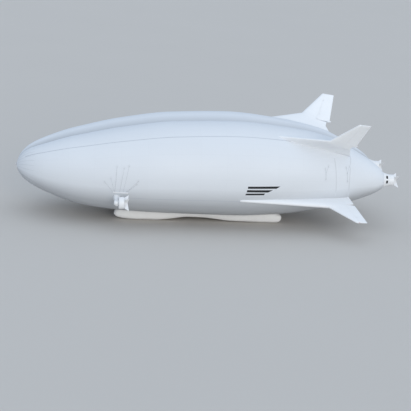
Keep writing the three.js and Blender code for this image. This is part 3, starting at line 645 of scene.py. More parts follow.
def ring_profile(limits):
    """The closed profile of a ring with square edges."""
    (x0, x1), (r0, r1) = limits["x"], limits["r"]
    return [(x0, r0), (x0, r1), (x1, r1), (x1, r0), (x0, r0)]


# Modelling

def pick(*pieces):
    """Selects only these pieces, in object mode, with the first one active."""
    if bpy.context.object and bpy.context.object.mode != "OBJECT":
        bpy.ops.object.mode_set(mode="OBJECT")
    bpy.ops.object.select_all(action="DESELECT")
    for piece in pieces:
        piece.select_set(True)
    if pieces:
        bpy.context.view_layer.objects.active = pieces[0]


def named(name):
    """Names the primitive that was just added and puts its place into its mesh."""
    piece = bpy.context.object
    piece.name = name
    piece.data.name = name
    bpy.ops.object.transform_apply(location=True, rotation=True, scale=True)
    return piece


def begin(name):
    """Names the primitive that was just added and opens it for editing."""
    piece = named(name)
    bpy.ops.object.mode_set(mode="EDIT")
    return piece


def edit_all(piece):
    """Opens a piece for editing, with all of it selected."""
    pick(piece)
    bpy.ops.object.mode_set(mode="EDIT")
    bpy.ops.mesh.select_all(action="SELECT")


def close_skin(piece):
    """Merges seams and poles and turns the faces outwards."""
    edit_all(piece)
    bpy.ops.mesh.remove_doubles(threshold=MERGE_GAP)
    bpy.ops.mesh.normals_make_consistent(inside=False)
    bpy.ops.object.mode_set(mode="OBJECT")


def modify(piece, kind, **settings):
    """Adds one modifier and applies it."""
    pick(piece)
    modifier = piece.modifiers.new(kind.title(), kind)
    for name, value in settings.items():
        setattr(modifier, name, value)
    bpy.ops.object.modifier_apply(modifier=modifier.name)


def soften(piece, kind):
    """Rounds the sharp edges of a kind of piece."""
    width, degrees = ROUNDING[kind]
    limit = math.radians(degrees)
    modify(piece, "BEVEL", width=width * M, segments=2, limit_method="ANGLE", angle_limit=limit)


def cut_away(piece, cutter):
    """Cuts a piece with another one, which is then removed."""
    modify(piece, "BOOLEAN", operation="DIFFERENCE", solver="EXACT", object=cutter)
    bpy.data.objects.remove(cutter)


def joined(name, pieces):
    """Makes several pieces one, under a name of its own."""
    pick(*pieces)
    if len(pieces) > 1:
        bpy.ops.object.join()
    whole = bpy.context.object
    whole.name = name
    whole.data.name = name
    return whole


def copied(piece, name, matrix):
    """A copy with its own mesh, moved by a matrix that is applied to it."""
    pick(piece)
    bpy.ops.object.duplicate(linked=False)
    copy = bpy.context.object
    copy.name = name
    copy.data.name = name
    copy.data.transform(matrix)
    if matrix.determinant() < 0:
        copy.data.flip_normals()
    return copy


def round_shaft(piece, count, first=0.0):
    """Copies of a piece set evenly round the shaft, in place of it."""
    copies = []
    for number in range(count):
        turn = Matrix.Rotation(first + 2 * math.pi * number / count, 4, "X")
        copies.append(copied(piece, "copy", turn))
    bpy.data.objects.remove(piece)
    return copies


def dress(piece, finish, slot, body="root", replaces=(), smooth=35):
    """Gives a finished piece its shading, material and body; the slot argument is not used."""
    pick(piece)
    bpy.ops.object.shade_smooth_by_angle(angle=math.radians(smooth))
    piece.data.materials.clear()
    piece.data.materials.append(finish)
    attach(piece, body)
    if replaces:
        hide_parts(*replaces)


def lofted(name, divisions, point_at, uv_at=None):
    """A closed skin: a disc extruded ring by ring, and laid where point_at(ring, angle) says."""
    rings, sides = divisions
    pick()
    bpy.ops.mesh.primitive_circle_add(
        vertices=sides, radius=1, fill_type="NGON", rotation=(0, math.pi / 2, 0),
    )
    piece = begin(name)
    for _ in range(rings - 1):
        bpy.ops.mesh.extrude_region_move(TRANSFORM_OT_translate={"value": (1, 0, 0)})
    bpy.ops.object.mode_set(mode="OBJECT")
    mesh = piece.data
    marks = [(round(v.co.x), math.atan2(v.co.z, v.co.y)) for v in mesh.vertices]
    if uv_at:
        lay_uv(mesh, marks, uv_at)
    for vertex, (ring, angle) in zip(mesh.vertices, marks):
        vertex.co = point_at(ring, angle)
    close_skin(piece)
    return piece


def lay_uv(mesh, marks, uv_at):
    """Writes a UV map from each corner's ring and angle, with no jump where the angle starts again."""
    layer = mesh.uv_layers.new(name="skin")
    for face in mesh.polygons:
        angles = [marks[mesh.loops[i].vertex_index][1] for i in face.loop_indices]
        wraps = max(angles) - min(angles) > math.pi and len(angles) == 4
        for i, angle in zip(face.loop_indices, angles):
            ring = marks[mesh.loops[i].vertex_index][0]
            layer.data[i].uv = uv_at(ring, angle + 2 * math.pi if wraps and angle < 0 else angle)


def turned(name, profile, at=(0, 0, 0), along=None, *, sides):
    """A body turned about a line through at, from [x, r] points in full-size metres. The line runs
    fore and aft, or along another direction."""
    pick()
    bpy.ops.mesh.primitive_plane_add(size=0.001)
    piece = begin(name)
    bpy.ops.mesh.merge(type="CENTER")
    x, r = profile[0]
    bpy.ops.transform.translate(value=(x * M, 0, r * M))
    for (x0, r0), (x1, r1) in zip(profile, profile[1:]):
        step = ((x1 - x0) * M, 0, (r1 - r0) * M)
        bpy.ops.mesh.extrude_vertices_move(TRANSFORM_OT_translate={"value": step})
    bpy.ops.mesh.select_all(action="SELECT")
    bpy.ops.mesh.spin(steps=sides, angle=2 * math.pi, center=(0, 0, 0), axis=(1, 0, 0))
    bpy.ops.object.mode_set(mode="OBJECT")
    if along:
        turn = Vector((1, 0, 0)).rotation_difference(Vector(along))
        piece.data.transform(turn.to_matrix().to_4x4())
    piece.data.transform(Matrix.Translation(Vector(at)))
    close_skin(piece)
    return piece


def box(name, x, y, z, edge=0.0, segments=2, at=place):
    """A box between full-size limits, with rounded edges. at lays its corners in the model."""
    pick()
    low, high = (at(*corner) for corner in zip(x, y, z))
    bpy.ops.mesh.primitive_cube_add(size=1, location=(low + high) / 2, scale=high - low)
    piece = begin(name)
    if edge:
        bpy.ops.mesh.bevel(offset=edge * M, segments=segments, affect="EDGES")
    bpy.ops.object.mode_set(mode="OBJECT")
    return piece


def cornered(name, corner_at):
    """A block whose corners are laid where corner_at says, from their signs along x, y and z."""
    pick()
    bpy.ops.mesh.primitive_cube_add(size=2)
    piece = named(name)
    for vertex in piece.data.vertices:
        vertex.co = corner_at(*vertex.co)
    close_skin(piece)
    return piece


def rod(name, start, end, radius, sides):
    """A round bar between two points of the model, with a full-size radius."""
    pick()
    run = end - start
    bpy.ops.mesh.primitive_cylinder_add(
        vertices=sides, radius=radius * M, depth=run.length, location=(start + end) / 2,
        rotation=run.to_track_quat("Z", "Y").to_euler(),
    )
    return named(name)


def ball(name, centre, radius, segments=12):
    """A ball round a point of the model, with a full-size radius."""
    pick()
    bpy.ops.mesh.primitive_uv_sphere_add(
        segments=segments, ring_count=segments // 2, radius=radius * M, location=centre,
    )
    return named(name)


def laid_sheet(name, cells, height, skin_at):
    """A grid laid on a skin by skin_at(u, v, out), with u and v from 0 to 1, and given a thickness."""
    pick()
    bpy.ops.mesh.primitive_grid_add(x_subdivisions=cells[0], y_subdivisions=cells[1], size=2)
    piece = named(name)
    for vertex in piece.data.vertices:
        vertex.co = skin_at((vertex.co.x + 1) / 2, (vertex.co.y + 1) / 2, 0.0)
    outward = skin_at(0.5, 0.5, 1.0) - skin_at(0.5, 0.5, 0.0)
    middle = piece.data.polygons[len(piece.data.polygons) // 2]
    if middle.normal.dot(outward) < 0:
        piece.data.flip_normals()
    modify(piece, "SOLIDIFY", thickness=height, offset=1)
    return piece


# Materials

def add_node(tree, kind, inputs=None, **settings):
    """Adds a node, with its settings, and its inputs set or linked by name or number."""
    node = tree.nodes.new(kind)
    for name, value in settings.items():
        setattr(node, name, value)
    for name, value in (inputs or {}).items():
        if isinstance(value, bpy.types.NodeSocket):
            tree.links.new(value, node.inputs[name])
        else:
            node.inputs[name].default_value = value
    return node


def arithmetic(tree, operation, *values):
    """One Math node on numbers or sockets."""
    return add_node(tree, "ShaderNodeMath", dict(enumerate(values)), operation=operation).outputs[0]


def noise(tree, scale, detail, stretch=(1, 1, 1)):
    """Noise in the object's own metres, stretched along an axis by a scale below one."""
    coords = add_node(tree, "ShaderNodeTexCoord").outputs["Object"]
    mapped = add_node(tree, "ShaderNodeMapping", {"Vector": coords, "Scale": stretch}).outputs[0]
    values = {"Vector": mapped, "Scale": scale, "Detail": detail}
    return add_node(tree, "ShaderNodeTexNoise", values).outputs["Fac"]


def remap(tree, value, low, high, to_low, to_high, kind="LINEAR"):
    """A value between two limits, turned into one between two others."""
    values = {"Value": value, "From Min": low, "From Max": high, "To Min": to_low, "To Max": to_high}
    return add_node(tree, "ShaderNodeMapRange", values, interpolation_type=kind).outputs[0]


def blended(tree, share, first, second):
    """A colour between two colours."""
    node = add_node(tree, "ShaderNodeMix", data_type="RGBA")
    for index, value in ((0, share), (6, first), (7, second)):
        if isinstance(value, bpy.types.NodeSocket):
            tree.links.new(value, node.inputs[index])
        else:
            node.inputs[index].default_value = value
    return node.outputs[2]


def shade(colour, factor):
    """A colour made lighter or darker by a factor."""
    return tuple(min(1.0, part * factor) for part in colour[:3]) + (1.0,)


def new_finish(name, roughness, metallic=0.0):
    """A material with its node tree and its shader."""
    material = bpy.data.materials.new(name)
    material.use_nodes = True
    shader = material.node_tree.nodes["Principled BSDF"]
    shader.inputs["Roughness"].default_value = roughness
    shader.inputs["Metallic"].default_value = metallic
    return material, material.node_tree, shader


def bumped(tree, shader, height, strength, distance):
    """Drives the shader's normal from a height in the object's metres."""
    values = {"Strength": strength, "Distance": distance, "Height": height}
    node = add_node(tree, "ShaderNodeBump", values)
    tree.links.new(node.outputs["Normal"], shader.inputs["Normal"])


def weighed(tree, *terms):
    """The sum of sockets, each times its weight."""
    total = None
    for socket, weight in terms:
        term = socket if weight == 1.0 else arithmetic(tree, "MULTIPLY", socket, weight)
        total = term if total is None else arithmetic(tree, "ADD", total, term)
    return total


def line_mask(tree, value, width):
    """One on the lines where value crosses a whole number, over a width in the same units."""
    distance = arithmetic(tree, "PINGPONG", value, 0.5)
    return remap(tree, distance, 0.0, width, 1.0, 0.0, "SMOOTHSTEP")


def panel_tint(tree, u, v):
    """A number from 0 to 1 for each panel between the lines."""
    cell = add_node(tree, "ShaderNodeCombineXYZ", {
        0: arithmetic(tree, "FLOOR", u),
        1: arithmetic(tree, "FLOOR", v),
    })
    return add_node(tree, "ShaderNodeTexWhiteNoise", {"Vector": cell.outputs[0]}).outputs["Value"]


def laminate_finish(name, colour, seam_share, painted_shade=0.0):
    """Laminated fabric with a seam at each unit of the UV map, and painted shade on the flanks that
    face the valley and on those that face down.
    """
    material, tree, shader = new_finish(name, 0.5)
    uv = add_node(tree, "ShaderNodeUVMap", uv_map="skin").outputs[0]
    parts = add_node(tree, "ShaderNodeSeparateXYZ", {0: uv})
    u, v = parts.outputs[0], parts.outputs[1]
    gores, girths = line_mask(tree, v, seam_share), line_mask(tree, u, seam_share * 0.45)
    seams = arithmetic(tree, "MAXIMUM", gores, girths)
    broad = noise(tree, scale=0.9, detail=4.0, stretch=(0.35, 1, 1))
    tint = 0.008
    light, deep = shade(colour, 1 + tint / 3), shade(colour, 1 - tint)
    base = blended(tree, panel_tint(tree, u, v), deep, light)
    base = blended(tree, remap(tree, broad, 0.35, 0.7, 0.0, 0.5), base, shade(colour, 0.94))
    base = blended(tree, arithmetic(tree, "MULTIPLY", seams, 0.4), base, shade(colour, 0.9))
    # Painted shade: the flanks that face the valley and those that face down are darkened for the
    # shade that falls there.
    if painted_shade:
        turn = arithmetic(tree, "MULTIPLY", v, 2 * math.pi / GORES)
        inward = remap(tree, arithmetic(tree, "COSINE", turn), -0.5, -0.2, 0.85, 0.0)
        below = remap(tree, arithmetic(tree, "SINE", turn), -0.66, -0.22, 1.0, 0.0)
        painted_shade_mask = arithmetic(tree, "MAXIMUM", inward, below)
        base = blended(tree, painted_shade_mask, base, shade(colour, 1 - painted_shade))
    tree.links.new(base, shader.inputs["Base Color"])
    weave = noise(tree, scale=420.0, detail=1.0)
    wrinkles = noise(tree, scale=5.0, detail=3.0, stretch=(0.25, 1, 1))
    height = weighed(tree, (wrinkles, 0.8), (weave, 0.04), (seams, 0.12))
    bumped(tree, shader, height, strength=0.25, distance=0.004)
    tree.links.new(remap(tree, broad, 0.3, 0.7, 0.42, 0.56), shader.inputs["Roughness"])
    return material


def coated_finish(name, colour, roughness, grain, depth, dirt, metallic=0.0):
    """Painted or moulded surface with a fine grain, cloudy wear and a little dirt in the grain."""
    material, tree, shader = new_finish(name, roughness, metallic)
    cloud = noise(tree, scale=3.5, detail=5.0)
    fine = noise(tree, scale=grain, detail=2.0)
    worn = remap(tree, cloud, 0.35, 0.75, 0.0, 1.0)
    base = blended(tree, worn, shade(colour, 1.0), shade(colour, 1 - dirt))
    base = blended(tree, remap(tree, fine, 0.55, 0.8, 0.0, 0.35), base, shade(colour, 1 - 1.5 * dirt))
    tree.links.new(base, shader.inputs["Base Color"])
    gloss = remap(tree, cloud, 0.3, 0.7, roughness * 0.85, roughness * 1.15)
    tree.links.new(gloss, shader.inputs["Roughness"])
    bumped(tree, shader, fine, strength=0.3, distance=depth)
    return material


def skid_finish(name, colour):
    """Rubberised fabric that is scuffed and dusty towards the ground."""
    material, tree, shader = new_finish(name, 0.68)
    coords = add_node(tree, "ShaderNodeTexCoord").outputs["Object"]
    height = add_node(tree, "ShaderNodeSeparateXYZ", {0: coords}).outputs[2]
    scuffs = noise(tree, scale=14.0, detail=6.0, stretch=(0.2, 1, 1))
    low = remap(tree, weighed(tree, (height, 1.0), (scuffs, 0.05)), 0.03, 0.09, 0.8, 0.0)
    cloud = remap(tree, noise(tree, scale=2.5, detail=4.0), 0.35, 0.7, 0, 0.8)
    base = blended(tree, cloud, shade(colour, 1.0), shade(colour, 0.93))
    base = blended(tree, low, base, shade(colour, 0.62))
    tree.links.new(base, shader.inputs["Base Color"])
    fine, coarse = noise(tree, scale=300.0, detail=1.0), noise(tree, scale=18.0, detail=3.0)
    bumped(tree, shader, weighed(tree, (fine, 1.0), (coarse, 3.0)), strength=0.35, distance=0.0008)
    return material


def cloth_finish(name, colour):
    """A woven seat cloth with a light sheen."""
    material, tree, shader = new_finish(name, 0.9)
    coords = add_node(tree, "ShaderNodeTexCoord").outputs["Object"]
    threads = []
    for axis in ("X", "Z"):
        values = {"Vector": coords, "Scale": 260.0, "Distortion": 1.0}
        wave = add_node(tree, "ShaderNodeTexWave", values, bands_direction=axis)
        threads.append(wave.outputs["Fac"])
    weave = arithmetic(tree, "MULTIPLY", *threads)
    base = blended(tree, weave, shade(colour, 0.7), shade(colour, 1.6))
    tree.links.new(base, shader.inputs["Base Color"])
    bumped(tree, shader, weave, strength=0.5, distance=0.0003)
    shader.inputs["Sheen Weight"].default_value = 0.3
    return material


def glass_finish(name, colour, alpha):
    """Tinted glazing with a faint smear."""
    material, tree, shader = new_finish(name, 0.06)
    shader.inputs["Base Color"].default_value = colour
    shader.inputs["Alpha"].default_value = alpha
    shader.inputs["Specular IOR Level"].default_value = 0.6
    smear = remap(tree, noise(tree, scale=8.0, detail=2.0), 0.3, 0.7, 0.05, 0.11)
    tree.links.new(smear, shader.inputs["Roughness"])
    return material


def lamp_finish(name, colour):
    """A glossy moulded lens."""
    material, tree, shader = new_finish(name, 0.12)
    shader.inputs["Coat Weight"].default_value = 0.6
    speckle = noise(tree, scale=700.0, detail=1.0)
    base = blended(tree, speckle, shade(colour, 0.8), shade(colour, 1.0))
    tree.links.new(base, shader.inputs["Base Color"])
    return material


def floor_finish(name, colour):
    """Matt floor paint, faintly cloudy."""
    material, tree, shader = new_finish(name, 0.85)
    cloud = noise(tree, scale=0.15, detail=3.0)
    base = blended(tree, cloud, shade(colour, 0.985), shade(colour, 1.015))
    tree.links.new(base, shader.inputs["Base Color"])
    shader.inputs["Specular IOR Level"].default_value = 0.2
    return material


FINISH = {}


def make_finishes(colours):
    """Every material that the pieces share."""
    coats = {
        "fin_trim": shade(colours.fin, 0.97),
        "tape": colours.tape,
        "lacing": shade(colours.laminate, 0.9),
        "patch": shade(colours.laminate, 0.97),
        "stripe": colours.stripe,
        "panel": colours.panel,
        "trim": colours.trim,
        "dark": colours.dark,
        "rubber": FITTING_COLOURS["rubber"],
        "steel": FITTING_COLOURS["steel"],
        "stay": FITTING_COLOURS["stay"],
    }
    for kind, colour in coats.items():
        FINISH[kind] = coated_finish(colour=colour, **COATS[kind])
    for kind in ("red", "green", "clear"):
        FINISH[kind] = lamp_finish(f"{kind}_lens", FITTING_COLOURS[kind])
    # The envelope's laminate carries painted shade in the valley and underneath.
    FINISH["envelope"] = laminate_finish(
        "envelope_laminate", colours.laminate, seam_share=0.018, painted_shade=0.33,
    )
    # The fins, rudders and fin trim take the fins' colour with its painted light.
    FINISH["fin"] = laminate_finish("fin_laminate", colours.fin, seam_share=0.03)
    FINISH["skid"] = skid_finish("skid_rubberised", colours.skid)
    FINISH["seat"] = cloth_finish("seat_cloth", FITTING_COLOURS["seat"])
    FINISH["glass"] = glass_finish("tinted_glazing", FITTING_COLOURS["glass"], alpha=0.5)


# Envelope

def build_envelope(detail):
    """Each lobe is a smooth shell, cut at the centre plane and open towards the other."""
    rings, sides = detail.hull_rings, detail.hull_sides
    stations = bunched(LOBE_FRONT, LOBE_BACK, rings)
    for name, side in SIDES.items():
        lobe = lofted(
            f"envelope_skin_{name}", (rings, sides),
            lambda ring, angle: skin(side, stations[ring], angle),
            lambda ring, angle: (stations[ring] / GIRTH_PANEL, angle * GORES / (2 * math.pi)),
        )
        edit_all(lobe)
        bpy.ops.mesh.bisect(
            plane_co=(0, side * TOUCH * M / 2, 0), plane_no=(0, -side, 0), clear_outer=True,
        )
        bpy.ops.object.mode_set(mode="OBJECT")
        modify(lobe, "SOLIDIFY", thickness=ENVELOPE_WALL * M, offset=-1)
        dress(lobe, FINISH["envelope"], "laminate", replaces=[f"envelope_{name}"], smooth=50)


def tape_on(kind, side, path, width, height):
    """A tape on a lobe along a path of stations and degrees."""
    spans = list(range(len(path)))
    station = curve_through([(i, x) for i, (x, _) in zip(spans, path)], lambda row: row[1])
    degrees = curve_through([(i, a) for i, (_, a) in zip(spans, path)], lambda row: row[1])
    step = 0.01

    def skin_at(u, v, out):
        t = u * spans[-1]
        x, angle = station(t), math.radians(degrees(t))
        r = lobe_at(x)[0]
        run = station(t + step) - station(t - step)
        rise = math.radians(degrees(t + step) - degrees(t - step)) * r
        length = math.hypot(run, rise)
        shift = (v - 0.5) * width / length
        return skin(side, x - rise * shift, angle + run * shift / r, out)

    return laid_sheet(kind, DIVISIONS[kind], height, skin_at)


def build_seams(detail):
    """The tapes over the long seams and round the tail, and the lacing in the valleys."""
    for name, side in SIDES.items():
        for kind, seams in SEAMS.items():
            width, height = seams["width"], detail.tape_height
            tapes = [tape_on(kind, side, path, width, height) for path in seams["paths"]]
            dress(joined(f"{kind}_{name}", tapes), FINISH[seams["finish"]], "laminate")
    build_valley("top", 1)
    build_valley("bottom", -1)


def build_valley(label, sign):
    """A laced strip that bridges the two lobes where they meet."""
    strip = VALLEY_STRIP
    stations = spread(*strip["x"], DIVISIONS["valley_strip"][0])
    least_depth = 0.1

    def point_at(ring, angle):
        x = stations[ring]
        r, c, z = lobe_at(x)
        deep = math.sqrt(max(r**2 - c**2, least_depth**2))
        slope = c / deep * strip["drape"]
        across, up = rounded(angle, strip["half"], strip["half_thick"], strip["roundness"])
        return place(x, across, z + sign * (deep + abs(across) * slope + up + strip["lift"]))

    piece = lofted(f"valley_strip_{label}", DIVISIONS["valley_strip"], point_at)
    dress(piece, FINISH["lacing"], "laminate")


def build_stripes(detail):
    """Three black bars on each side, cut at a slant and laid over the laminate."""
    height = detail.tape_height * STRIPE_SHARE
    for name, side in SIDES.items():
        bars = []
        for corners in STRIPES:
            def skin_at(u, v, out, corners=corners):
                top = [mix(a, b, u) for a, b in zip(corners[0], corners[1])]
                bottom = [mix(a, b, u) for a, b in zip(corners[3], corners[2])]
                return on_lobe(side, [mix(a, b, v) for a, b in zip(bottom, top)], out)

            bars.append(laid_sheet("bar", DIVISIONS["stripe"], height, skin_at))
        dress(joined(f"stripe_bars_{name}", bars), FINISH["stripe"], "laminate")


def round_patch(side, spot, height):
    """A round load patch on a lobe."""
    x, degrees = spot

    def skin_at(u, v, out):
        a, b = 2 * u - 1, 2 * v - 1
        across = a * math.sqrt(max(0.0, 1 - b * b / 2)) * PATCH["r"]
        up = b * math.sqrt(max(0.0, 1 - a * a / 2)) * PATCH["r"] * PATCH["stretch"]
        return skin(side, x + across, math.radians(degrees) + up / lobe_at(x)[0], out)

    return laid_sheet("patch", DIVISIONS["patch"], height, skin_at)


def line_on(side, start, end):
    """A taut line that lies on a lobe between two spots given as stations and degrees."""
    last_ring = DIVISIONS["stay"][0] - 1
    probe = 0.1

    def point_at(ring, angle):
        x, degrees = (mix(a, b, ring / last_ring) for a, b in zip(start, end))
        centre = on_lobe(side, (x, degrees), STAY["lift"])
        outward = (on_lobe(side, (x, degrees), STAY["lift"] + 1) - centre).normalized()
        run = place(x + end[0] - start[0], 0, 0) - place(x, 0, 0)
        run += on_lobe(side, (x, degrees + (end[1] - start[1]) * probe)) - on_lobe(side, (x, degrees))
        sideways = outward.cross(run).normalized()
        return centre + (outward * math.sin(angle) + sideways * math.cos(angle)) * STAY["r"] * M

    return lofted("line", DIVISIONS["stay"], point_at)


def end_fitting(side, spot):
    """The small metal fitting at the end of a line."""
    return ball("end", on_lobe(side, spot, STAY["r"]), STAY["end_r"])


def build_stays(detail):
    """The load patches, the forward pylons' stays and the tail bridles, which lie taut on the skin."""
    for name, side in SIDES.items():
        patches, lines, ends = [], [], []
        for patch, foot in POD_STAYS:
            patches.append(round_patch(side, patch, detail.tape_height))
            lines.append(line_on(side, patch, foot))
            ends += [end_fitting(side, patch), end_fitting(side, foot)]
        for upper, second, knot, foot in TAIL_BRIDLES:
            patches += [round_patch(side, spot, detail.tape_height) for spot in (upper, second, foot)]
            for start, end in ((upper, knot), (second, knot), (knot, foot)):
                lines.append(line_on(side, start, end))
            ends += [end_fitting(side, spot) for spot in (upper, second, knot, foot)]
        dress(joined(f"load_patches_{name}", patches), FINISH["patch"], "laminate")
        dress(joined(f"stay_lines_{name}", lines), FINISH["stay"], "laminate")
        dress(joined(f"stay_ends_{name}", ends), FINISH["steel"], "white_panel")


def build_nose():
    """The mooring dish with its spindle, and the battens that spread its load over the nose."""
    at, batten_height = place(NOSE_FRONT, 0, NOSE_HEIGHT), NOSE_BATTEN["height"] * M
    dish = turned("nose_dish", NOSE_DISH, at, sides=64)
    soften(dish, "nose_dish")
    dress(dish, FINISH["panel"], "white_panel", replaces=["nose_mooring_fitting"])
    ring = turned("nose_spindle_ring", ring_profile(NOSE_RING), at, sides=32)
    dress(ring, FINISH["steel"], "dark_metal")
    for name, side in SIDES.items():
        battens = []
        for degrees in NOSE_BATTEN["degrees"]:
            path = [(x, degrees) for x in NOSE_BATTEN["x"]]
            battens.append(tape_on("batten", side, path, NOSE_BATTEN["width"], batten_height))
        dress(joined(f"nose_battens_{name}", battens), FINISH["lacing"], "laminate")


# Fins

def fin_sections(level, side):
    """A fin's sections on one side of the hull."""
    rows = []
    for (x0, y0, z0), (x1, y1, z1), thick in FINS[level]["sections"]:
        rows.append((Vector((x0, side * y0, z0)), Vector((x1, side * y1, z1)), thick))
    return rows


def fin_frame(level, side):
    """A hinge line's foot and length, the fin's axes up it, aft and out of its face, and the radii of
    the rudder's nose. slant is how far the chord climbs up the hinge for each metre aft."""
    sections, rudder = fin_sections(level, side), FINS[level]["rudder"]
    foot, top = (Vector((x, side * y, z)) for x, y, z in (rudder["foot"], rudder["top"]))
    chord = (sections[-1][1] - sections[-1][0]).normalized()
    along = (top - foot).normalized()
    face = chord.cross(along).normalized()
    aft = along.cross(face).normalized()
    return {
        "foot": foot,
        "length": (top - foot).length,
        "along": along,
        "aft": aft,
        "face": face,
        "slant": chord.dot(along) / chord.dot(aft),
        "nose": (sections[-2][2] * RUDDER_NOSE[0], sections[-1][2] * RUDDER_NOSE[1]),
    }


def in_fin(axes, up, aft, out):
    """A point in a fin's own axes, in the model's metres."""
    return place(*(axes["foot"] + axes["along"] * up + axes["aft"] * aft + axes["face"] * out))


def fin_box(name, axes, up, aft, half):
    """A box in a fin's axes, for cutting or as a lug. aft has its limits at its foot and its top."""
    def corner_at(x, y, z):
        level = 1 if z > 0 else 0
        return in_fin(axes, up[level], aft[level][1 if x > 0 else 0], half * y)

    return cornered(name, corner_at)


def build_fin(level, name, side):
    """A fin with a rounded tip and room for its rudder, and the pieces that it carries."""
    rows = fin_sections(level, side)
    axes = fin_frame(level, side)
    stations = []
    for (le0, te0, thick0), (le1, te1, thick1) in zip(rows, rows[1:]):
        for step in range(FIN_STEPS):
            share = step / FIN_STEPS
            stations.append((le0.lerp(le1, share), te0.lerp(te1, share), mix(thick0, thick1, share)))
    le, te, thick = rows[-1]
    middle = (le + te) / 2
    out = (le - rows[-2][0]).normalized()
    for rise, narrow in FIN_TIP:
        slim = mix(FIN_TIP_CHORD, 1.0, narrow)
        ends = [middle.lerp(end, slim) + out * rise for end in (le, te)]
        stations.append((*ends, thick * narrow))

    def point_at(ring, angle):
        le, te, thick = stations[ring]
        share, bulge = section_at(angle)
        return place(*(le.lerp(te, share) + axes["face"] * bulge * thick / 2))

    def uv_at(ring, angle):
        span = (stations[ring][1] - rows[1][1]).length * (1 if ring >= FIN_STEPS else -1)
        face = FIN_SEAMS["face"] if math.sin(angle) > 0 else -FIN_SEAMS["face"]
        return span / FIN_SEAMS["panel"], (1 - math.cos(angle)) * FIN_SEAMS["chord"] + face

    fin = lofted(f"{level}_fin_skin_{name}", (len(stations), FIN_SIDES), point_at, uv_at)
    limits = [(-nose - RUDDER_GAP, 2 * FIN_CUT) for nose in axes["nose"]]
    cut_away(fin, fin_box("space", axes, (-RUDDER_GAP, axes["length"] + FIN_CUT), limits, FIN_CUT))
    soften(fin, "fin")
    dress(fin, FINISH["fin"], "laminate", replaces=[f"{level}_fin_{name}"])
    build_lugs(level, name, axes)
    build_rudder(level, name, axes)
    build_gap_seals(level, name, axes)
    build_ties(level, name, rows, axes)
    if level == "upper":
        build_foot_fairing(name, side, axes)


def build_lugs(level, name, axes):
    """The hinge brackets that reach into the rudder's notches, with their pins."""
    lugs, pins = [], []
    for share in RUDDER_LUG["at"]:
        up = share * axes["length"]
        nose = mix(*axes["nose"], share)
        reach = (-nose - RUDDER_LUG["root"], RUDDER_LUG["back"])
        half = min(RUDDER_LUG["half"], nose / 2)
        lugs.append(fin_box("lug", axes, about(up, RUDDER_LUG["width"] / 2), (reach, reach), half))
        soften(lugs[-1], "lug")
        limits = about(up, RUDDER_SLOT["width"] / 2 - RUDDER_PIN["gap"])
        ends = [in_fin(axes, end, 0, 0) for end in limits]
        pins.append(rod("pin", *ends, RUDDER_PIN["r"], sides=12))
    dress(joined(f"{level}_hinge_lugs_{name}", lugs), FINISH["steel"], "white_panel")
    dress(joined(f"{level}_hinge_pins_{name}", pins), FINISH["dark"], "dark_metal")


def build_rudder(level, name, axes):
    """A rudder with a rounded nose and flat sides to its edge, notched for the lugs."""
    last_ring = DIVISIONS["rudder"][0] - 1
    quarter = math.pi / 2

    def point_at(ring, angle):
        share = ring / last_ring
        up = share * axes["length"]
        nose = mix(*axes["nose"], share)
        if abs(angle) >= quarter:
            return in_fin(axes, up, nose * math.cos(angle), nose * math.sin(angle))
        chord = mix(*FINS[level]["rudder"]["chords"], share)
        t = 1 - abs(angle) / quarter
        out = math.copysign(mix(nose, RUDDER_EDGE, t), angle) if abs(angle) > FLAT else 0.0
        return in_fin(axes, up + chord * t * axes["slant"], chord * t, out)

    def uv_at(ring, angle):
        up = ring / last_ring * axes["length"] / FIN_SEAMS["panel"]
        return up + RUDDER_SEAMS["up"], abs(angle) / math.pi + RUDDER_SEAMS["chord"]

    rudder = lofted(f"{level}_rudder_skin_{name}", DIVISIONS["rudder"], point_at, uv_at)
    notch = (-1, RUDDER_SLOT["deep"])
    for share in RUDDER_LUG["at"]:
        up = about(share * axes["length"], RUDDER_SLOT["width"] / 2)
        cut_away(rudder, fin_box("slot", axes, up, (notch, notch), 1))
    soften(rudder, "rudder")
    dress(rudder, FINISH["fin"], "laminate", f"{level}_rudder_{name}", [f"{level}_rudder_{name}"])


def build_foot_fairing(name, side, axes):
    """The teardrop fairing on an upper rudder's inner face, at the foot of its trailing edge."""
    chord = FINS["upper"]["rudder"]["chords"][0] * FOOT_FAIRING["chord"]
    inner = -math.copysign(1, axes["face"].y * side)
    at = in_fin(axes, chord * axes["slant"] + FOOT_FAIRING["rise"], chord, inner * FOOT_FAIRING["out"])
    along_chord = axes["aft"] + axes["along"] * axes["slant"]
    profile = FOOT_FAIRING["profile"]
    fairing = turned(f"upper_rudder_foot_fairing_{name}", profile, at, along_chord, sides=24)
    dress(fairing, FINISH["fin_trim"], "laminate", f"upper_rudder_{name}")


def build_gap_seals(level, name, axes):
    """A flexible strip on each face of the fin that bridges the gap ahead of the rudder."""
    last_ring = DIVISIONS["gap_seal"][0] - 1
    seals = []
    for sign in (-1, 1):
        def point_at(ring, angle):
            share = ring / last_ring
            up = mix(GAP_SEAL["end"], axes["length"] - GAP_SEAL["end"], share)
            nose = mix(*axes["nose"], share)
            front, back = -nose - GAP_SEAL["lap"], -nose * GAP_SEAL["reach"]
            half, thick = (back - front) / 2, GAP_SEAL["half_thick"]
            across, proud = rounded(angle, half, thick, GAP_SEAL["roundness"])
            out = sign * (nose + GAP_SEAL["stand_off"] + proud)
            return in_fin(axes, up, (front + back) / 2 + across, out)

        seals.append(lofted("seal", DIVISIONS["gap_seal"], point_at))
    dress(joined(f"{level}_gap_seals_{name}", seals), FINISH["fin_trim"], "laminate")


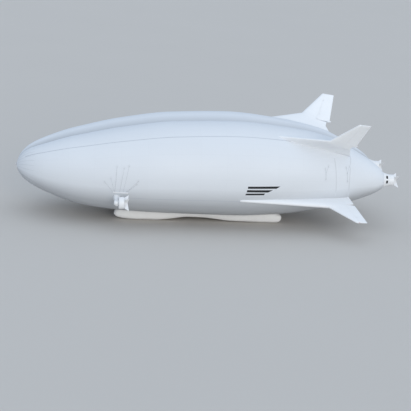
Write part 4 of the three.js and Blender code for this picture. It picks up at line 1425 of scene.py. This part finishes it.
def build_ties(level, name, rows, axes):
    """A row of short ties from the hull to the fin, on both faces."""
    le, te, thick = rows[1]
    ties = []
    for sign in (-1, 1):
        for share in spread(*FIN_TIE["shares"], FIN_TIE["count"]):
            foot = le.lerp(te, share)
            upward = (rows[2][0].lerp(rows[2][1], share) - foot).normalized()
            root = foot + axes["face"] * sign * airfoil(share) * thick / 2
            start = root - upward * FIN_TIE["below"]
            end = root + upward * FIN_TIE["above"] - axes["face"] * sign * FIN_TIE["inset"]
            ties.append(rod("tie", place(*start), place(*end), FIN_TIE["r"], sides=6))
    dress(joined(f"{level}_fin_ties_{name}", ties), FINISH["lacing"], "laminate")


def build_fins():
    """The four fins, each with its rudder."""
    for level in FINS:
        for name, side in SIDES.items():
            build_fin(level, name, side)


# Skids

SKID_LOW = curve_through(SKID, lambda row: row[1])
SKID_RISE = curve_through(SKID, lambda row: ((row[2] - row[1]) / 2) ** 2)
SKID_HALF = curve_through(SKID, lambda row: row[3] ** 2)


def skid_point(side, x, angle, grow=0.0):
    """A point on a skid's skin, or out from it, at a station and an angle up from its outer side."""
    half = math.sqrt(SKID_HALF(x)) + grow
    rise = math.sqrt(SKID_RISE(x))
    across, up = rounded(angle, half, rise + grow, SKID_ROUNDNESS)
    return place(x, side * SKID_Y + across, SKID_LOW(x) + rise + up)


def build_skids():
    """Inflated skids with a flat sole, girth bands and side seams."""
    front, back = SKID[0][0], SKID[-1][0]
    stations = bunched(front, back, DIVISIONS["skid"][0])
    for name, side in SIDES.items():
        skid = lofted(
            f"skid_tube_{name}", DIVISIONS["skid"],
            lambda ring, angle: skid_point(side, stations[ring], angle),
        )
        edit_all(skid)
        bpy.ops.mesh.bisect(plane_co=(0, 0, 0), plane_no=(0, 0, -1), clear_outer=True, use_fill=True)
        bpy.ops.object.mode_set(mode="OBJECT")
        dress(skid, FINISH["skid"], "skid_fabric", replaces=[f"skid_{name}"], smooth=45)
        bands = []
        for x in SKID_BAND["x"]:
            def skin_at(u, v, out, x=x):
                station = x + (v - 0.5) * SKID_BAND["width"]
                return skid_point(side, station, mix(*SKID_BAND["turn"], u), out)

            bands.append(laid_sheet("band", DIVISIONS["skid_band"], SKID_BAND["height"] * M, skin_at))
        for turn in SKID_SEAM["turns"]:
            def skin_at(u, v, out, turn=turn):
                x = mix(front + SKID_SEAM["end"], back - SKID_SEAM["end"], u)
                angle = mix(*about(turn, SKID_SEAM["half"]), v) - SKID_SEAM["drop"]
                return skid_point(side, x, angle, out)

            bands.append(laid_sheet("seam", DIVISIONS["skid_seam"], SKID_SEAM["height"] * M, skin_at))
        dress(joined(f"skid_bands_{name}", bands), FINISH["skid"], "skid_fabric")


# Propulsors

def build_nacelle():
    """The cowl at the origin, with its straps, service hatches and cooling scoop."""
    parts = [turned("cowl", NACELLE_PROFILE, sides=48)]
    outer = NACELLE_R + STRAP["proud"]
    for front in STRAP["x"]:
        back = front + STRAP["wide"]
        strap = [(front, NACELLE_R), (front, outer), (back, outer), (back, NACELLE_R)]
        parts.append(turned("strap", strap, sides=48))
    height = (NACELLE_R - HATCH["sunk"], NACELLE_R + HATCH["proud"])
    for sign in (-1, 1):
        wide = about(sign * HATCH["y"], HATCH["half"])
        parts.append(box("hatch", HATCH["x"], wide, height, HATCH["edge"], at=local))
    depth = (-NACELLE_R - SCOOP["proud"], -NACELLE_R + SCOOP["sunk"])
    wide = about(0, SCOOP["half"])
    parts.append(box("scoop", SCOOP["x"], wide, depth, SCOOP["edge"], segments=3, at=local))
    return joined("nacelle_model", parts)


def build_exhausts():
    """Two exhaust stubs that point aft and down, each with a bore."""
    (x, y, z), (aft, out, up) = EXHAUST["foot"], EXHAUST["run"]
    parts = []
    for sign in (-1, 1):
        start = local(x, sign * y, z)
        end = start + local(aft, sign * out, up)
        parts.append(rod("exhaust", start, end, EXHAUST["r"], sides=16))
        bore = start.lerp(end, EXHAUST_BORE["from"]), end + local(EXHAUST_BORE["proud"], 0, 0)
        parts.append(rod("exhaust_bore", *bore, EXHAUST_BORE["r"], sides=16))
    return joined("exhaust_model", parts)


def build_duct():
    """The duct ring with a rounded lip, and its struts to the nacelle."""
    def strut_point(ring, angle):
        share, bulge = section_at(angle)
        return local(mix(*STRUT["x"], share), bulge * STRUT["half_thick"], mix(*STRUT["r"], ring))

    ring = turned("duct_ring", DUCT_PROFILE, sides=72)
    struts = round_shaft(lofted("strut", DIVISIONS["strut"], strut_point), STRUT["count"], math.pi / 4)
    return joined("duct_model", [ring, *struts])


def build_vanes():
    """Four swept steering vanes behind the duct, on a small tail cone."""
    v = VANE
    last_ring = DIVISIONS["vane"][0] - 1

    def point_at(ring, angle):
        radius = mix(VANE_ENDS["root"], v["tip_r"] - VANE_ENDS["tip"], ring / last_ring)
        swept = max(0.0, (radius - DUCT_R) / (v["tip_r"] - DUCT_R))
        le = mix(v["front"], v["tip_x"], swept)
        te = mix(v["heel_x"], v["tip_x"], radius / v["tip_r"])
        share, bulge = section_at(angle)
        slim = min(1.0, (te - le) / VANE_ENDS["slim"])
        return local(mix(le, te, share), bulge * v["thick"] * 0.5 * slim, radius)

    hub = turned("vane_hub", VANE_HUB, sides=24)
    vanes = round_shaft(lofted("vane", DIVISIONS["vane"], point_at), v["count"], math.pi / 4)
    return joined("vane_model", [hub, *vanes])


def build_propeller():
    """Hub, spinner, shaft and three twisted blades."""
    chord = curve_through(BLADE, lambda row: row[1])
    thick = curve_through(BLADE, lambda row: row[2])
    twist = curve_through(BLADE, lambda row: row[3])
    last_ring = DIVISIONS["blade"][0] - 1

    def point_at(ring, angle):
        share = ring / last_ring
        radius = mix(BLADE[0][0], BLADE[-1][0], share)
        past = max(0.0, (share - 1 + BLADE_TIP["share"]) / BLADE_TIP["share"])
        narrow = mix(BLADE_TIP["end"], 1.0, math.sqrt(max(0.0, 1 - past**2)))
        pitch = math.radians(twist(radius))
        spot, bulge = section_at(angle)
        along = (spot - 0.5) * chord(radius) * narrow
        across = bulge * thick(radius) / 2
        forward = along * math.sin(pitch) + across * math.cos(pitch)
        sideways = along * math.cos(pitch) - across * math.sin(pitch)
        return local(PROPELLER["x"] + forward, -sideways, radius)

    hub = turned("hub", HUB_PROFILE, sides=32)
    blades = round_shaft(lofted("blade", DIVISIONS["blade"], point_at), PROPELLER["blades"])
    return joined("propeller_model", [hub, *blades])


def build_intake():
    """A grille set back in the intake, and the hub of its starter."""
    g = GRILLE
    parts = []
    for number in range(g["bars"]):
        up = mix(-g["r"], g["r"], (number + 0.5) / g["bars"])
        half = math.sqrt(g["r"] ** 2 - up**2)
        ends = [local(g["x"], end, up) for end in (-half, half)]
        parts.append(rod("bar", *ends, g["bar_r"], sides=8))
    rim = ring_profile({"x": g["rim_x"], "r": about(g["r"], g["rim"])})
    parts.append(turned("starter", STARTER_PROFILE, sides=20))
    parts.append(turned("rim", rim, sides=40))
    return joined("intake_model", parts)


def build_propulsors():
    """Each part of a propulsor is modelled once and copied to the four places."""
    models = {
        "nacelle": (build_nacelle(), "panel", "white_panel"),
        "duct": (build_duct(), "panel", "white_panel"),
        "vanes": (build_vanes(), "panel", "white_panel"),
        "propeller": (build_propeller(), "dark", "dark_metal"),
        "intake": (build_intake(), "dark", "dark_metal"),
        "exhaust": (build_exhausts(), "steel", "dark_metal"),
    }
    for model, _, _ in models.values():
        soften(model, "propulsor")
    for name, side in SIDES.items():
        stations = {
            f"forward_{name}": (place(POD[0], side * POD[1], POD[2]), f"forward_pod_{name}"),
            f"stern_{name}": (place(STERN["x"], side * STERN["y"], STERN["z"]), "root"),
        }
        for station, (centre, body) in stations.items():
            for label, (model, finish, slot) in models.items():
                node = f"{label}_{station}"
                replaces = [node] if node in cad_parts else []
                piece = copied(model, f"{label}_body_{station}", Matrix.Translation(centre))
                carrier = f"propeller_{station}" if label == "propeller" else body
                dress(piece, FINISH[finish], slot, carrier, replaces)
    for model, _, _ in models.values():
        bpy.data.objects.remove(model)
    for name, side in SIDES.items():
        build_pylon(name, side)
        build_stern(name, side)


def build_pylon(name, side):
    """The pylon's fairing with its rail on the hull, the trunnion housing and the pod's trunnion."""
    root, tip = PYLON["root"], PYLON["tip"]
    last_ring = DIVISIONS["pylon"][0] - 1

    def beam_at(ring, angle):
        share = ring / last_ring
        ease = share ** PYLON["ease"]
        x0, x1 = (mix(a, b, ease) for a, b in zip(root["x"], tip["x"]))
        z0, z1 = (mix(a, b, ease) for a, b in zip(root["z"], tip["z"]))
        roundness = mix(root["roundness"], tip["roundness"], share)
        across, up = rounded(angle, (x1 - x0) / 2, (z1 - z0) / 2, roundness)
        y = side * mix(root["y"], tip["y"], share)
        return place((x0 + x1) / 2 + across, y, (z0 + z1) / 2 + up)

    at, outward = place(TRUNNION_X, 0, POD[2]), (0, side, 0)
    beam = lofted("beam", DIVISIONS["pylon"], beam_at)
    drum = turned("drum", HOUSING_PROFILE, at, outward, sides=40)
    pylon = joined(f"pylon_fairing_{name}", [beam, drum, build_rail(side)])
    soften(pylon, "pylon")
    dress(pylon, FINISH["panel"], "white_panel", replaces=[f"pylon_{name}"])
    trunnion = turned(f"pod_trunnion_{name}", SHAFT_PROFILE, at, outward, sides=32)
    dress(trunnion, FINISH["steel"], "white_panel", f"forward_pod_{name}")


def build_rail(side):
    """The rail that spreads the pylon's load along the hull and takes the feet of the stays."""
    rail = PYLON_RAIL
    last_ring = DIVISIONS["pylon_rail"][0] - 1
    z0, z1 = rail["z"]

    def point_at(ring, angle):
        x = mix(*rail["x"], ring / last_ring)
        across, up = rounded(angle, rail["half"], (z1 - z0) / 2, rail["roundness"])
        height = (z0 + z1) / 2 + up
        r, c, z = lobe_at(x)
        outward = c + math.sqrt(r**2 - (height - z) ** 2) + rail["rise"] - rail["half"]
        return place(x, side * (outward + across), height)

    return lofted("rail", DIVISIONS["pylon_rail"], point_at)


def build_stern(name, side):
    """The fairing that carries a stern propulsor, with the cooling inlets in its side and a dark sheet
    of painted shade at the bottom of each.
    """
    centre = place(STERN["x"], side * STERN["y"], STERN["z"])
    start = LOBE_BACK + TOUCH - STERN["x"]
    hole = NACELLE_R + TOUCH
    outside = [(start, hole), (start, LOBE[-1][1]), *STERN_PROFILE]
    bore = [(STERN_PROFILE[-1][0], hole), (start, hole)]
    fairing = turned(f"stern_fairing_{name}", outside + bore, centre, sides=96)
    front, back = STERN_INLET["x"]
    half, lap = STERN_INLET["half"], STERN_INLET_SHADE["lap"]
    shade_sheets = []
    for degrees in STERN_INLET["degrees"]:
        turn = Matrix.Translation(centre) @ Matrix.Rotation(math.radians(degrees), 4, "X")
        inlet = (front, back), STERN_INLET["r"], about(0, half)
        cutter = box("inlet", *inlet, STERN_INLET["edge"], segments=3, at=local)
        cutter.data.transform(turn)
        cut_away(fairing, cutter)
        # A dark sheet of painted shade at the bottom of the inlet.
        grid = (front - lap, back + lap), STERN_INLET_SHADE["r"], about(0, half + lap)
        screen = box("screen", *grid, at=local)
        screen.data.transform(turn)
        shade_sheets.append(screen)
    soften(fairing, "stern")
    dress(fairing, FINISH["panel"], "white_panel", replaces=[f"stern_mount_{name}"])
    dress(joined(f"stern_inlet_screens_{name}", shade_sheets), FINISH["rubber"], "dark_metal")


# Flight deck, modules and lamps

def window_seal(name, window, side, body="root"):
    """A rubber frame on a side wall round a window."""
    (x0, x1), (z0, z1), width = window["x"], window["z"], window["seal"]
    y = side * DECK["half"]
    depth = sorted((y, y + side * WINDOW_SEAL["thick"]))
    frames = [
        ((x0 - width, x1 + width), (z0 - width, z0)),
        ((x0 - width, x1 + width), (z1, z1 + width)),
        ((x0 - width, x0), (z0, z1)),
        ((x1, x1 + width), (z0, z1)),
    ]
    bars = [box("bar", x, depth, z, WINDOW_SEAL["edge"]) for x, z in frames]
    dress(joined(name, bars), FINISH["rubber"], "dark_metal", body)


def build_deck():
    """Finishes of the nodes that stay in view, and the fittings of the flight deck and the modules."""
    for finish, nodes in NODE_FINISHES.items():
        for node in nodes:
            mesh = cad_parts[node].data
            mesh.materials.clear()
            mesh.materials.append(FINISH[finish])
    for name, side in SIDES.items():
        window_seal(f"window_seal_{name}", DECK_WINDOW, side)
    window_seal("door_window_seal", DOOR_WINDOW, SIDES["port"], "cabin_door")
    build_door_fittings()
    build_screen_trim()
    build_modules()


def build_door_fittings():
    """The door's handle with its plate and spindle, and the two strap hinges."""
    wall = -DECK["half"]
    handle = []
    for label, row in DOOR_HANDLE.items():
        y = [wall - out for out in row["out"]]
        handle.append(box(label, row["x"], y, row["z"], row["edge"]))
    ends = [place(DOOR_SPINDLE["x"], wall - out, DOOR_SPINDLE["z"]) for out in DOOR_SPINDLE["out"]]
    handle.append(rod("spindle", *ends, DOOR_SPINDLE["r"], sides=12))
    dress(joined("door_handle", handle), FINISH["steel"], "dark_metal", "cabin_door")
    hinges = []
    for z in DOOR_HINGE["z"]:
        x, y = DOOR_HINGE["x"][1], wall - HINGE_BARREL["out"]
        ends = [place(x, y, end) for end in about(z, HINGE_BARREL["half"])]
        hinges.append(rod("barrel", *ends, HINGE_BARREL["r"], sides=12))
        depth, height = (wall - DOOR_HINGE["thick"], wall), about(z, DOOR_HINGE["half"])
        hinges.append(box("strap", DOOR_HINGE["x"], depth, height, DOOR_HINGE["edge"]))
    dress(joined("door_hinges", hinges), FINISH["steel"], "dark_metal")


def slope_point(share, out):
    """A point on the windscreen's slope, in x and z."""
    run = Vector((DECK_NOSE["brow"] - DECK["front"], DECK["roof"] - DECK_NOSE["sill"]))
    normal = Vector((-run.y, run.x)).normalized()
    spot = Vector((DECK["front"], DECK_NOSE["sill"])) + run * share + normal * out
    return spot.x, spot.y


def slope_bar(shares, wide):
    """A thin bar on the windscreen's slope, between shares of its height and limits across it."""
    def corner_at(x, y, z):
        spot_x, spot_z = slope_point(shares[1 if z > 0 else 0], SCREEN["proud"] if x < 0 else 0.0)
        return place(spot_x, wide[1 if y > 0 else 0], spot_z)

    return cornered("bar", corner_at)


def build_screen_trim():
    """The windscreen's seal with its two posts, and the landing lamps under it."""
    low, high = SCREEN["shares"]
    half, lap = SCREEN["half"], SCREEN["lap"]
    outer = half + SCREEN["width"]
    near, far = SCREEN["post"]
    bars = [
        ((low - lap, low), (-outer, outer)),
        ((high, high + lap), (-outer, outer)),
        ((low, high), (-outer, -half)),
        ((low, high), (half, outer)),
        ((low, high), (-far, -near)),
        ((low, high), (near, far)),
    ]
    seal = joined("windscreen_seal", [slope_bar(shares, wide) for shares, wide in bars])
    dress(seal, FINISH["rubber"], "dark_metal")
    lamps, bezels = [], []
    for y in LANDING_LAMP["y"]:
        spot = place(DECK["front"] - LANDING_LAMP["sunk"], y, LANDING_LAMP["z"])
        lamps.append(ball("lamp", spot, LANDING_LAMP["r"], segments=16))
        bezels.append(turned("bezel", ring_profile(LAMP_BEZEL), spot, sides=20))
    dress(joined("landing_lamps", lamps), FINISH["clear"], "cockpit_glass")
    dress(joined("landing_lamp_bezels", bezels), FINISH["steel"], "dark_metal")


def build_modules():
    """The straps round the payload and fuel modules, and the hatches under them."""
    bands, hatches = [], []
    band, hatch = MODULE_BAND, MODULE_HATCH
    for module in MODULES.values():
        (x0, x1), half, (low, high) = module["x"], module["half"], module["z"]
        for x in spread(x0 + band["end"], x1 - band["end"], band["count"]):
            along = about(x, band["half"])
            up = (low + band["foot"], high - band["head"])
            for side in (-1, 1):
                bands.append(box("band", along, about(side * half, band["proud"]), up, band["edge"]))
            across = about(0, half - band["corner"])
            bands.append(box("band", along, across, about(low, band["proud"]), band["edge"]))
        for x in spread(x0 + hatch["end"], x1 - hatch["end"], hatch["count"]):
            along, across = about(x, hatch["half_long"]), about(0, hatch["half_wide"])
            up = (low - hatch["proud"], low + hatch["sunk"])
            hatches.append(box("hatch", along, across, up, hatch["edge"]))
    dress(joined("module_bands", bands), FINISH["trim"], "grey_panel")
    dress(joined("module_hatches", hatches), FINISH["panel"], "white_panel")


def build_cushion(name, x, y, z, crown):
    """A crowned pad: a subdivided box whose faces swell between its corners."""
    pick()
    low, high = (place(*corner) for corner in zip(x, y, z))
    centre, half = (low + high) / 2, (high - low) / 2
    bpy.ops.mesh.primitive_cube_add(size=1, location=centre, scale=high - low)
    piece = begin(name)
    bpy.ops.mesh.subdivide(number_cuts=PAD_CUTS)
    bpy.ops.object.mode_set(mode="OBJECT")
    for vertex in piece.data.vertices:
        spot = [(vertex.co[axis] - centre[axis]) / half[axis] for axis in range(3)]
        for axis in range(3):
            first, second = (1 - spot[other] ** 2 for other in range(3) if other != axis)
            swell = crown * M * first * second
            vertex.co[axis] += math.copysign(swell, spot[axis]) * abs(spot[axis])
    modify(piece, "SUBSURF", levels=1, render_levels=1)
    return piece


def build_seats():
    """Two seats: a padded pan and back on a moulded shell with a pedestal."""
    top = DECK["floor"] + DECK["wall"] + TOUCH + SEAT["pan"]
    for name, side in SIDES.items():
        y0, y1 = about(side * SEAT["y"], SEAT["half"])
        shell = []
        for label, row in SEAT_SHELL.items():
            y = (y0 + row["inset"], y1 - row["inset"])
            x, z = shifted(row["x"], SEAT["x"]), shifted(row["z"], top)
            shell.append(box(label, x, y, z, row["edge"]))
        arm = SEAT_ARMREST
        x, z = shifted(arm["x"], SEAT["x"]), shifted(arm["z"], top)
        for edge in (y0, y1 - arm["wide"]):
            shell.append(box("armrest", x, (edge, edge + arm["wide"]), z, arm["edge"]))
        whole = joined(f"seat_shell_{name}", shell)
        dress(whole, FINISH["dark"], "seat_cloth", replaces=[f"seat_{name}"])
        for label, row in SEAT_PADS.items():
            y = (y0 + row["inset"], y1 - row["inset"])
            x, z = shifted(row["x"], SEAT["x"]), shifted(row["z"], top)
            pad = build_cushion(f"seat_{label}_pad_{name}", x, y, z, row["crown"])
            dress(pad, FINISH["seat"], "seat_cloth")


def build_lamps():
    """Navigation lamps on the tips of the fins: red and green below, clear above."""
    for name, side in SIDES.items():
        for level, lamp in TIP_LAMPS.items():
            le, te, _ = fin_sections(level, side)[-1]
            spot = place(*le.lerp(te, TIP_LAMP_SHARE)) + local(0, side * lamp["out"], lamp["up"])
            piece = ball(f"{lamp['piece']}_{name}", spot, lamp["r"], segments=16)
            dress(piece, FINISH[LAMP_COLOURS[level][name]], "cockpit_glass")


# Stage

def build_floor(colour):
    """A pale painted floor."""
    pick()
    bpy.ops.mesh.primitive_plane_add(size=FLOOR_SIZE)
    floor = named("floor")
    floor.data.materials.append(floor_finish("floor_paint", colour))


def build_lights(stage):
    """Light from all round, and two broad suns."""
    world = bpy.data.worlds.new("studio")
    bpy.context.scene.world = world
    world.use_nodes = True
    background = world.node_tree.nodes["Background"]
    background.inputs["Color"].default_value = stage.sky
    background.inputs["Strength"].default_value = stage.sky_strength
    for name, sun in SUNS.items():
        bpy.ops.object.light_add(type="SUN", location=(0, 0, SUN_HEIGHT))
        lamp = bpy.context.object
        lamp.name = name
        lamp.data.energy = getattr(stage, f"{name}_strength")
        lamp.data.color = sun["colour"]
        lamp.data.angle = math.radians(sun["size"])
        tilt, turn = math.radians(90 - sun["elevation"]), math.radians(sun["azimuth"])
        lamp.rotation_euler = Euler((tilt, 0, turn))
    bpy.context.scene.view_settings.view_transform = "Standard"


def build_camera():
    """The photograph's camera."""
    bpy.ops.object.camera_add(location=place(*CAMERA["place"]))
    camera = bpy.context.object
    camera.name = "photograph_camera"
    look = place(*CAMERA["aim"]) - place(*CAMERA["place"])
    level = look.to_track_quat("-Z", "Y").to_matrix().to_4x4()
    turn = level @ Matrix.Rotation(math.radians(CAMERA["roll"]), 4, "Z")
    camera.rotation_euler = turn.to_euler()
    camera.data.angle = math.radians(CAMERA["view"])
    camera.data.clip_end = VIEW_DEPTH
    bpy.context.scene.camera = camera


# Operators

class AIRSHIP_OT_stage(bpy.types.Operator):
    """Make the materials, the floor, the light and the camera"""

    bl_idname = "airship.stage"
    bl_label = "Stage and materials"

    def execute(self, context):
        make_finishes(context.scene.airship_finishes)
        build_floor(context.scene.airship_stage.floor)
        build_lights(context.scene.airship_stage)
        build_camera()
        return {"FINISHED"}


class AIRSHIP_OT_envelope(bpy.types.Operator):
    """Build the two smooth lobes"""

    bl_idname = "airship.envelope"
    bl_label = "Envelope"

    def execute(self, context):
        build_envelope(context.scene.airship_detail)
        return {"FINISHED"}


class AIRSHIP_OT_markings(bpy.types.Operator):
    """Lay the seam tapes, the valley strips and the black bars on the lobes"""

    bl_idname = "airship.markings"
    bl_label = "Seams and stripes"

    def execute(self, context):
        build_seams(context.scene.airship_detail)
        build_stripes(context.scene.airship_detail)
        return {"FINISHED"}


class AIRSHIP_OT_rigging(bpy.types.Operator):
    """Lay the load patches and the taut stays"""

    bl_idname = "airship.rigging"
    bl_label = "Stays"

    def execute(self, context):
        build_stays(context.scene.airship_detail)
        return {"FINISHED"}


class AIRSHIP_OT_nose(bpy.types.Operator):
    """Build the mooring dish and the nose battens"""

    bl_idname = "airship.nose"
    bl_label = "Nose fitting"

    def execute(self, context):
        build_nose()
        return {"FINISHED"}


class AIRSHIP_OT_fins(bpy.types.Operator):
    """Build the fins with their hinged rudders"""

    bl_idname = "airship.fins"
    bl_label = "Fins and rudders"

    def execute(self, context):
        build_fins()
        return {"FINISHED"}


class AIRSHIP_OT_skids(bpy.types.Operator):
    """Build the two landing skids"""

    bl_idname = "airship.skids"
    bl_label = "Skids"

    def execute(self, context):
        build_skids()
        return {"FINISHED"}


class AIRSHIP_OT_propulsors(bpy.types.Operator):
    """Build the four ducted propulsors with their pylons and mounts"""

    bl_idname = "airship.propulsors"
    bl_label = "Propulsors"

    def execute(self, context):
        build_propulsors()
        return {"FINISHED"}


class AIRSHIP_OT_deck(bpy.types.Operator):
    """Finish the flight deck, its seats and the modules, and add the lamps"""

    bl_idname = "airship.deck"
    bl_label = "Flight deck and modules"

    def execute(self, context):
        build_deck()
        build_seats()
        build_lamps()
        return {"FINISHED"}


STEPS = [
    AIRSHIP_OT_stage,
    AIRSHIP_OT_envelope,
    AIRSHIP_OT_markings,
    AIRSHIP_OT_rigging,
    AIRSHIP_OT_nose,
    AIRSHIP_OT_fins,
    AIRSHIP_OT_skids,
    AIRSHIP_OT_propulsors,
    AIRSHIP_OT_deck,
]


class AIRSHIP_PT_build(bpy.types.Panel):
    """Lists the steps that build the airship"""

    bl_label = "Airship"
    bl_idname = "AIRSHIP_PT_build"
    bl_space_type = "VIEW_3D"
    bl_region_type = "UI"
    bl_category = "Airship"

    def draw(self, context):
        scene = context.scene
        for group in (scene.airship_finishes, scene.airship_detail, scene.airship_stage):
            rows = self.layout.box()
            for name in group.__annotations__:
                rows.prop(group, name)
        for step in STEPS:
            self.layout.operator(step.bl_idname)


CLASSES = [AirshipFinishes, AirshipDetail, AirshipStage, *STEPS, AIRSHIP_PT_build]


def register():
    for cls in CLASSES:
        bpy.utils.register_class(cls)
    bpy.types.Scene.airship_finishes = PointerProperty(type=AirshipFinishes)
    bpy.types.Scene.airship_detail = PointerProperty(type=AirshipDetail)
    bpy.types.Scene.airship_stage = PointerProperty(type=AirshipStage)


def unregister():
    del bpy.types.Scene.airship_stage
    del bpy.types.Scene.airship_detail
    del bpy.types.Scene.airship_finishes
    for cls in reversed(CLASSES):
        bpy.utils.unregister_class(cls)


def main():
    register()
    bpy.ops.airship.stage()
    bpy.ops.airship.envelope()
    bpy.ops.airship.markings()
    bpy.ops.airship.rigging()
    bpy.ops.airship.nose()
    bpy.ops.airship.fins()
    bpy.ops.airship.skids()
    bpy.ops.airship.propulsors()
    bpy.ops.airship.deck()


if __name__ == "__main__":
    main()
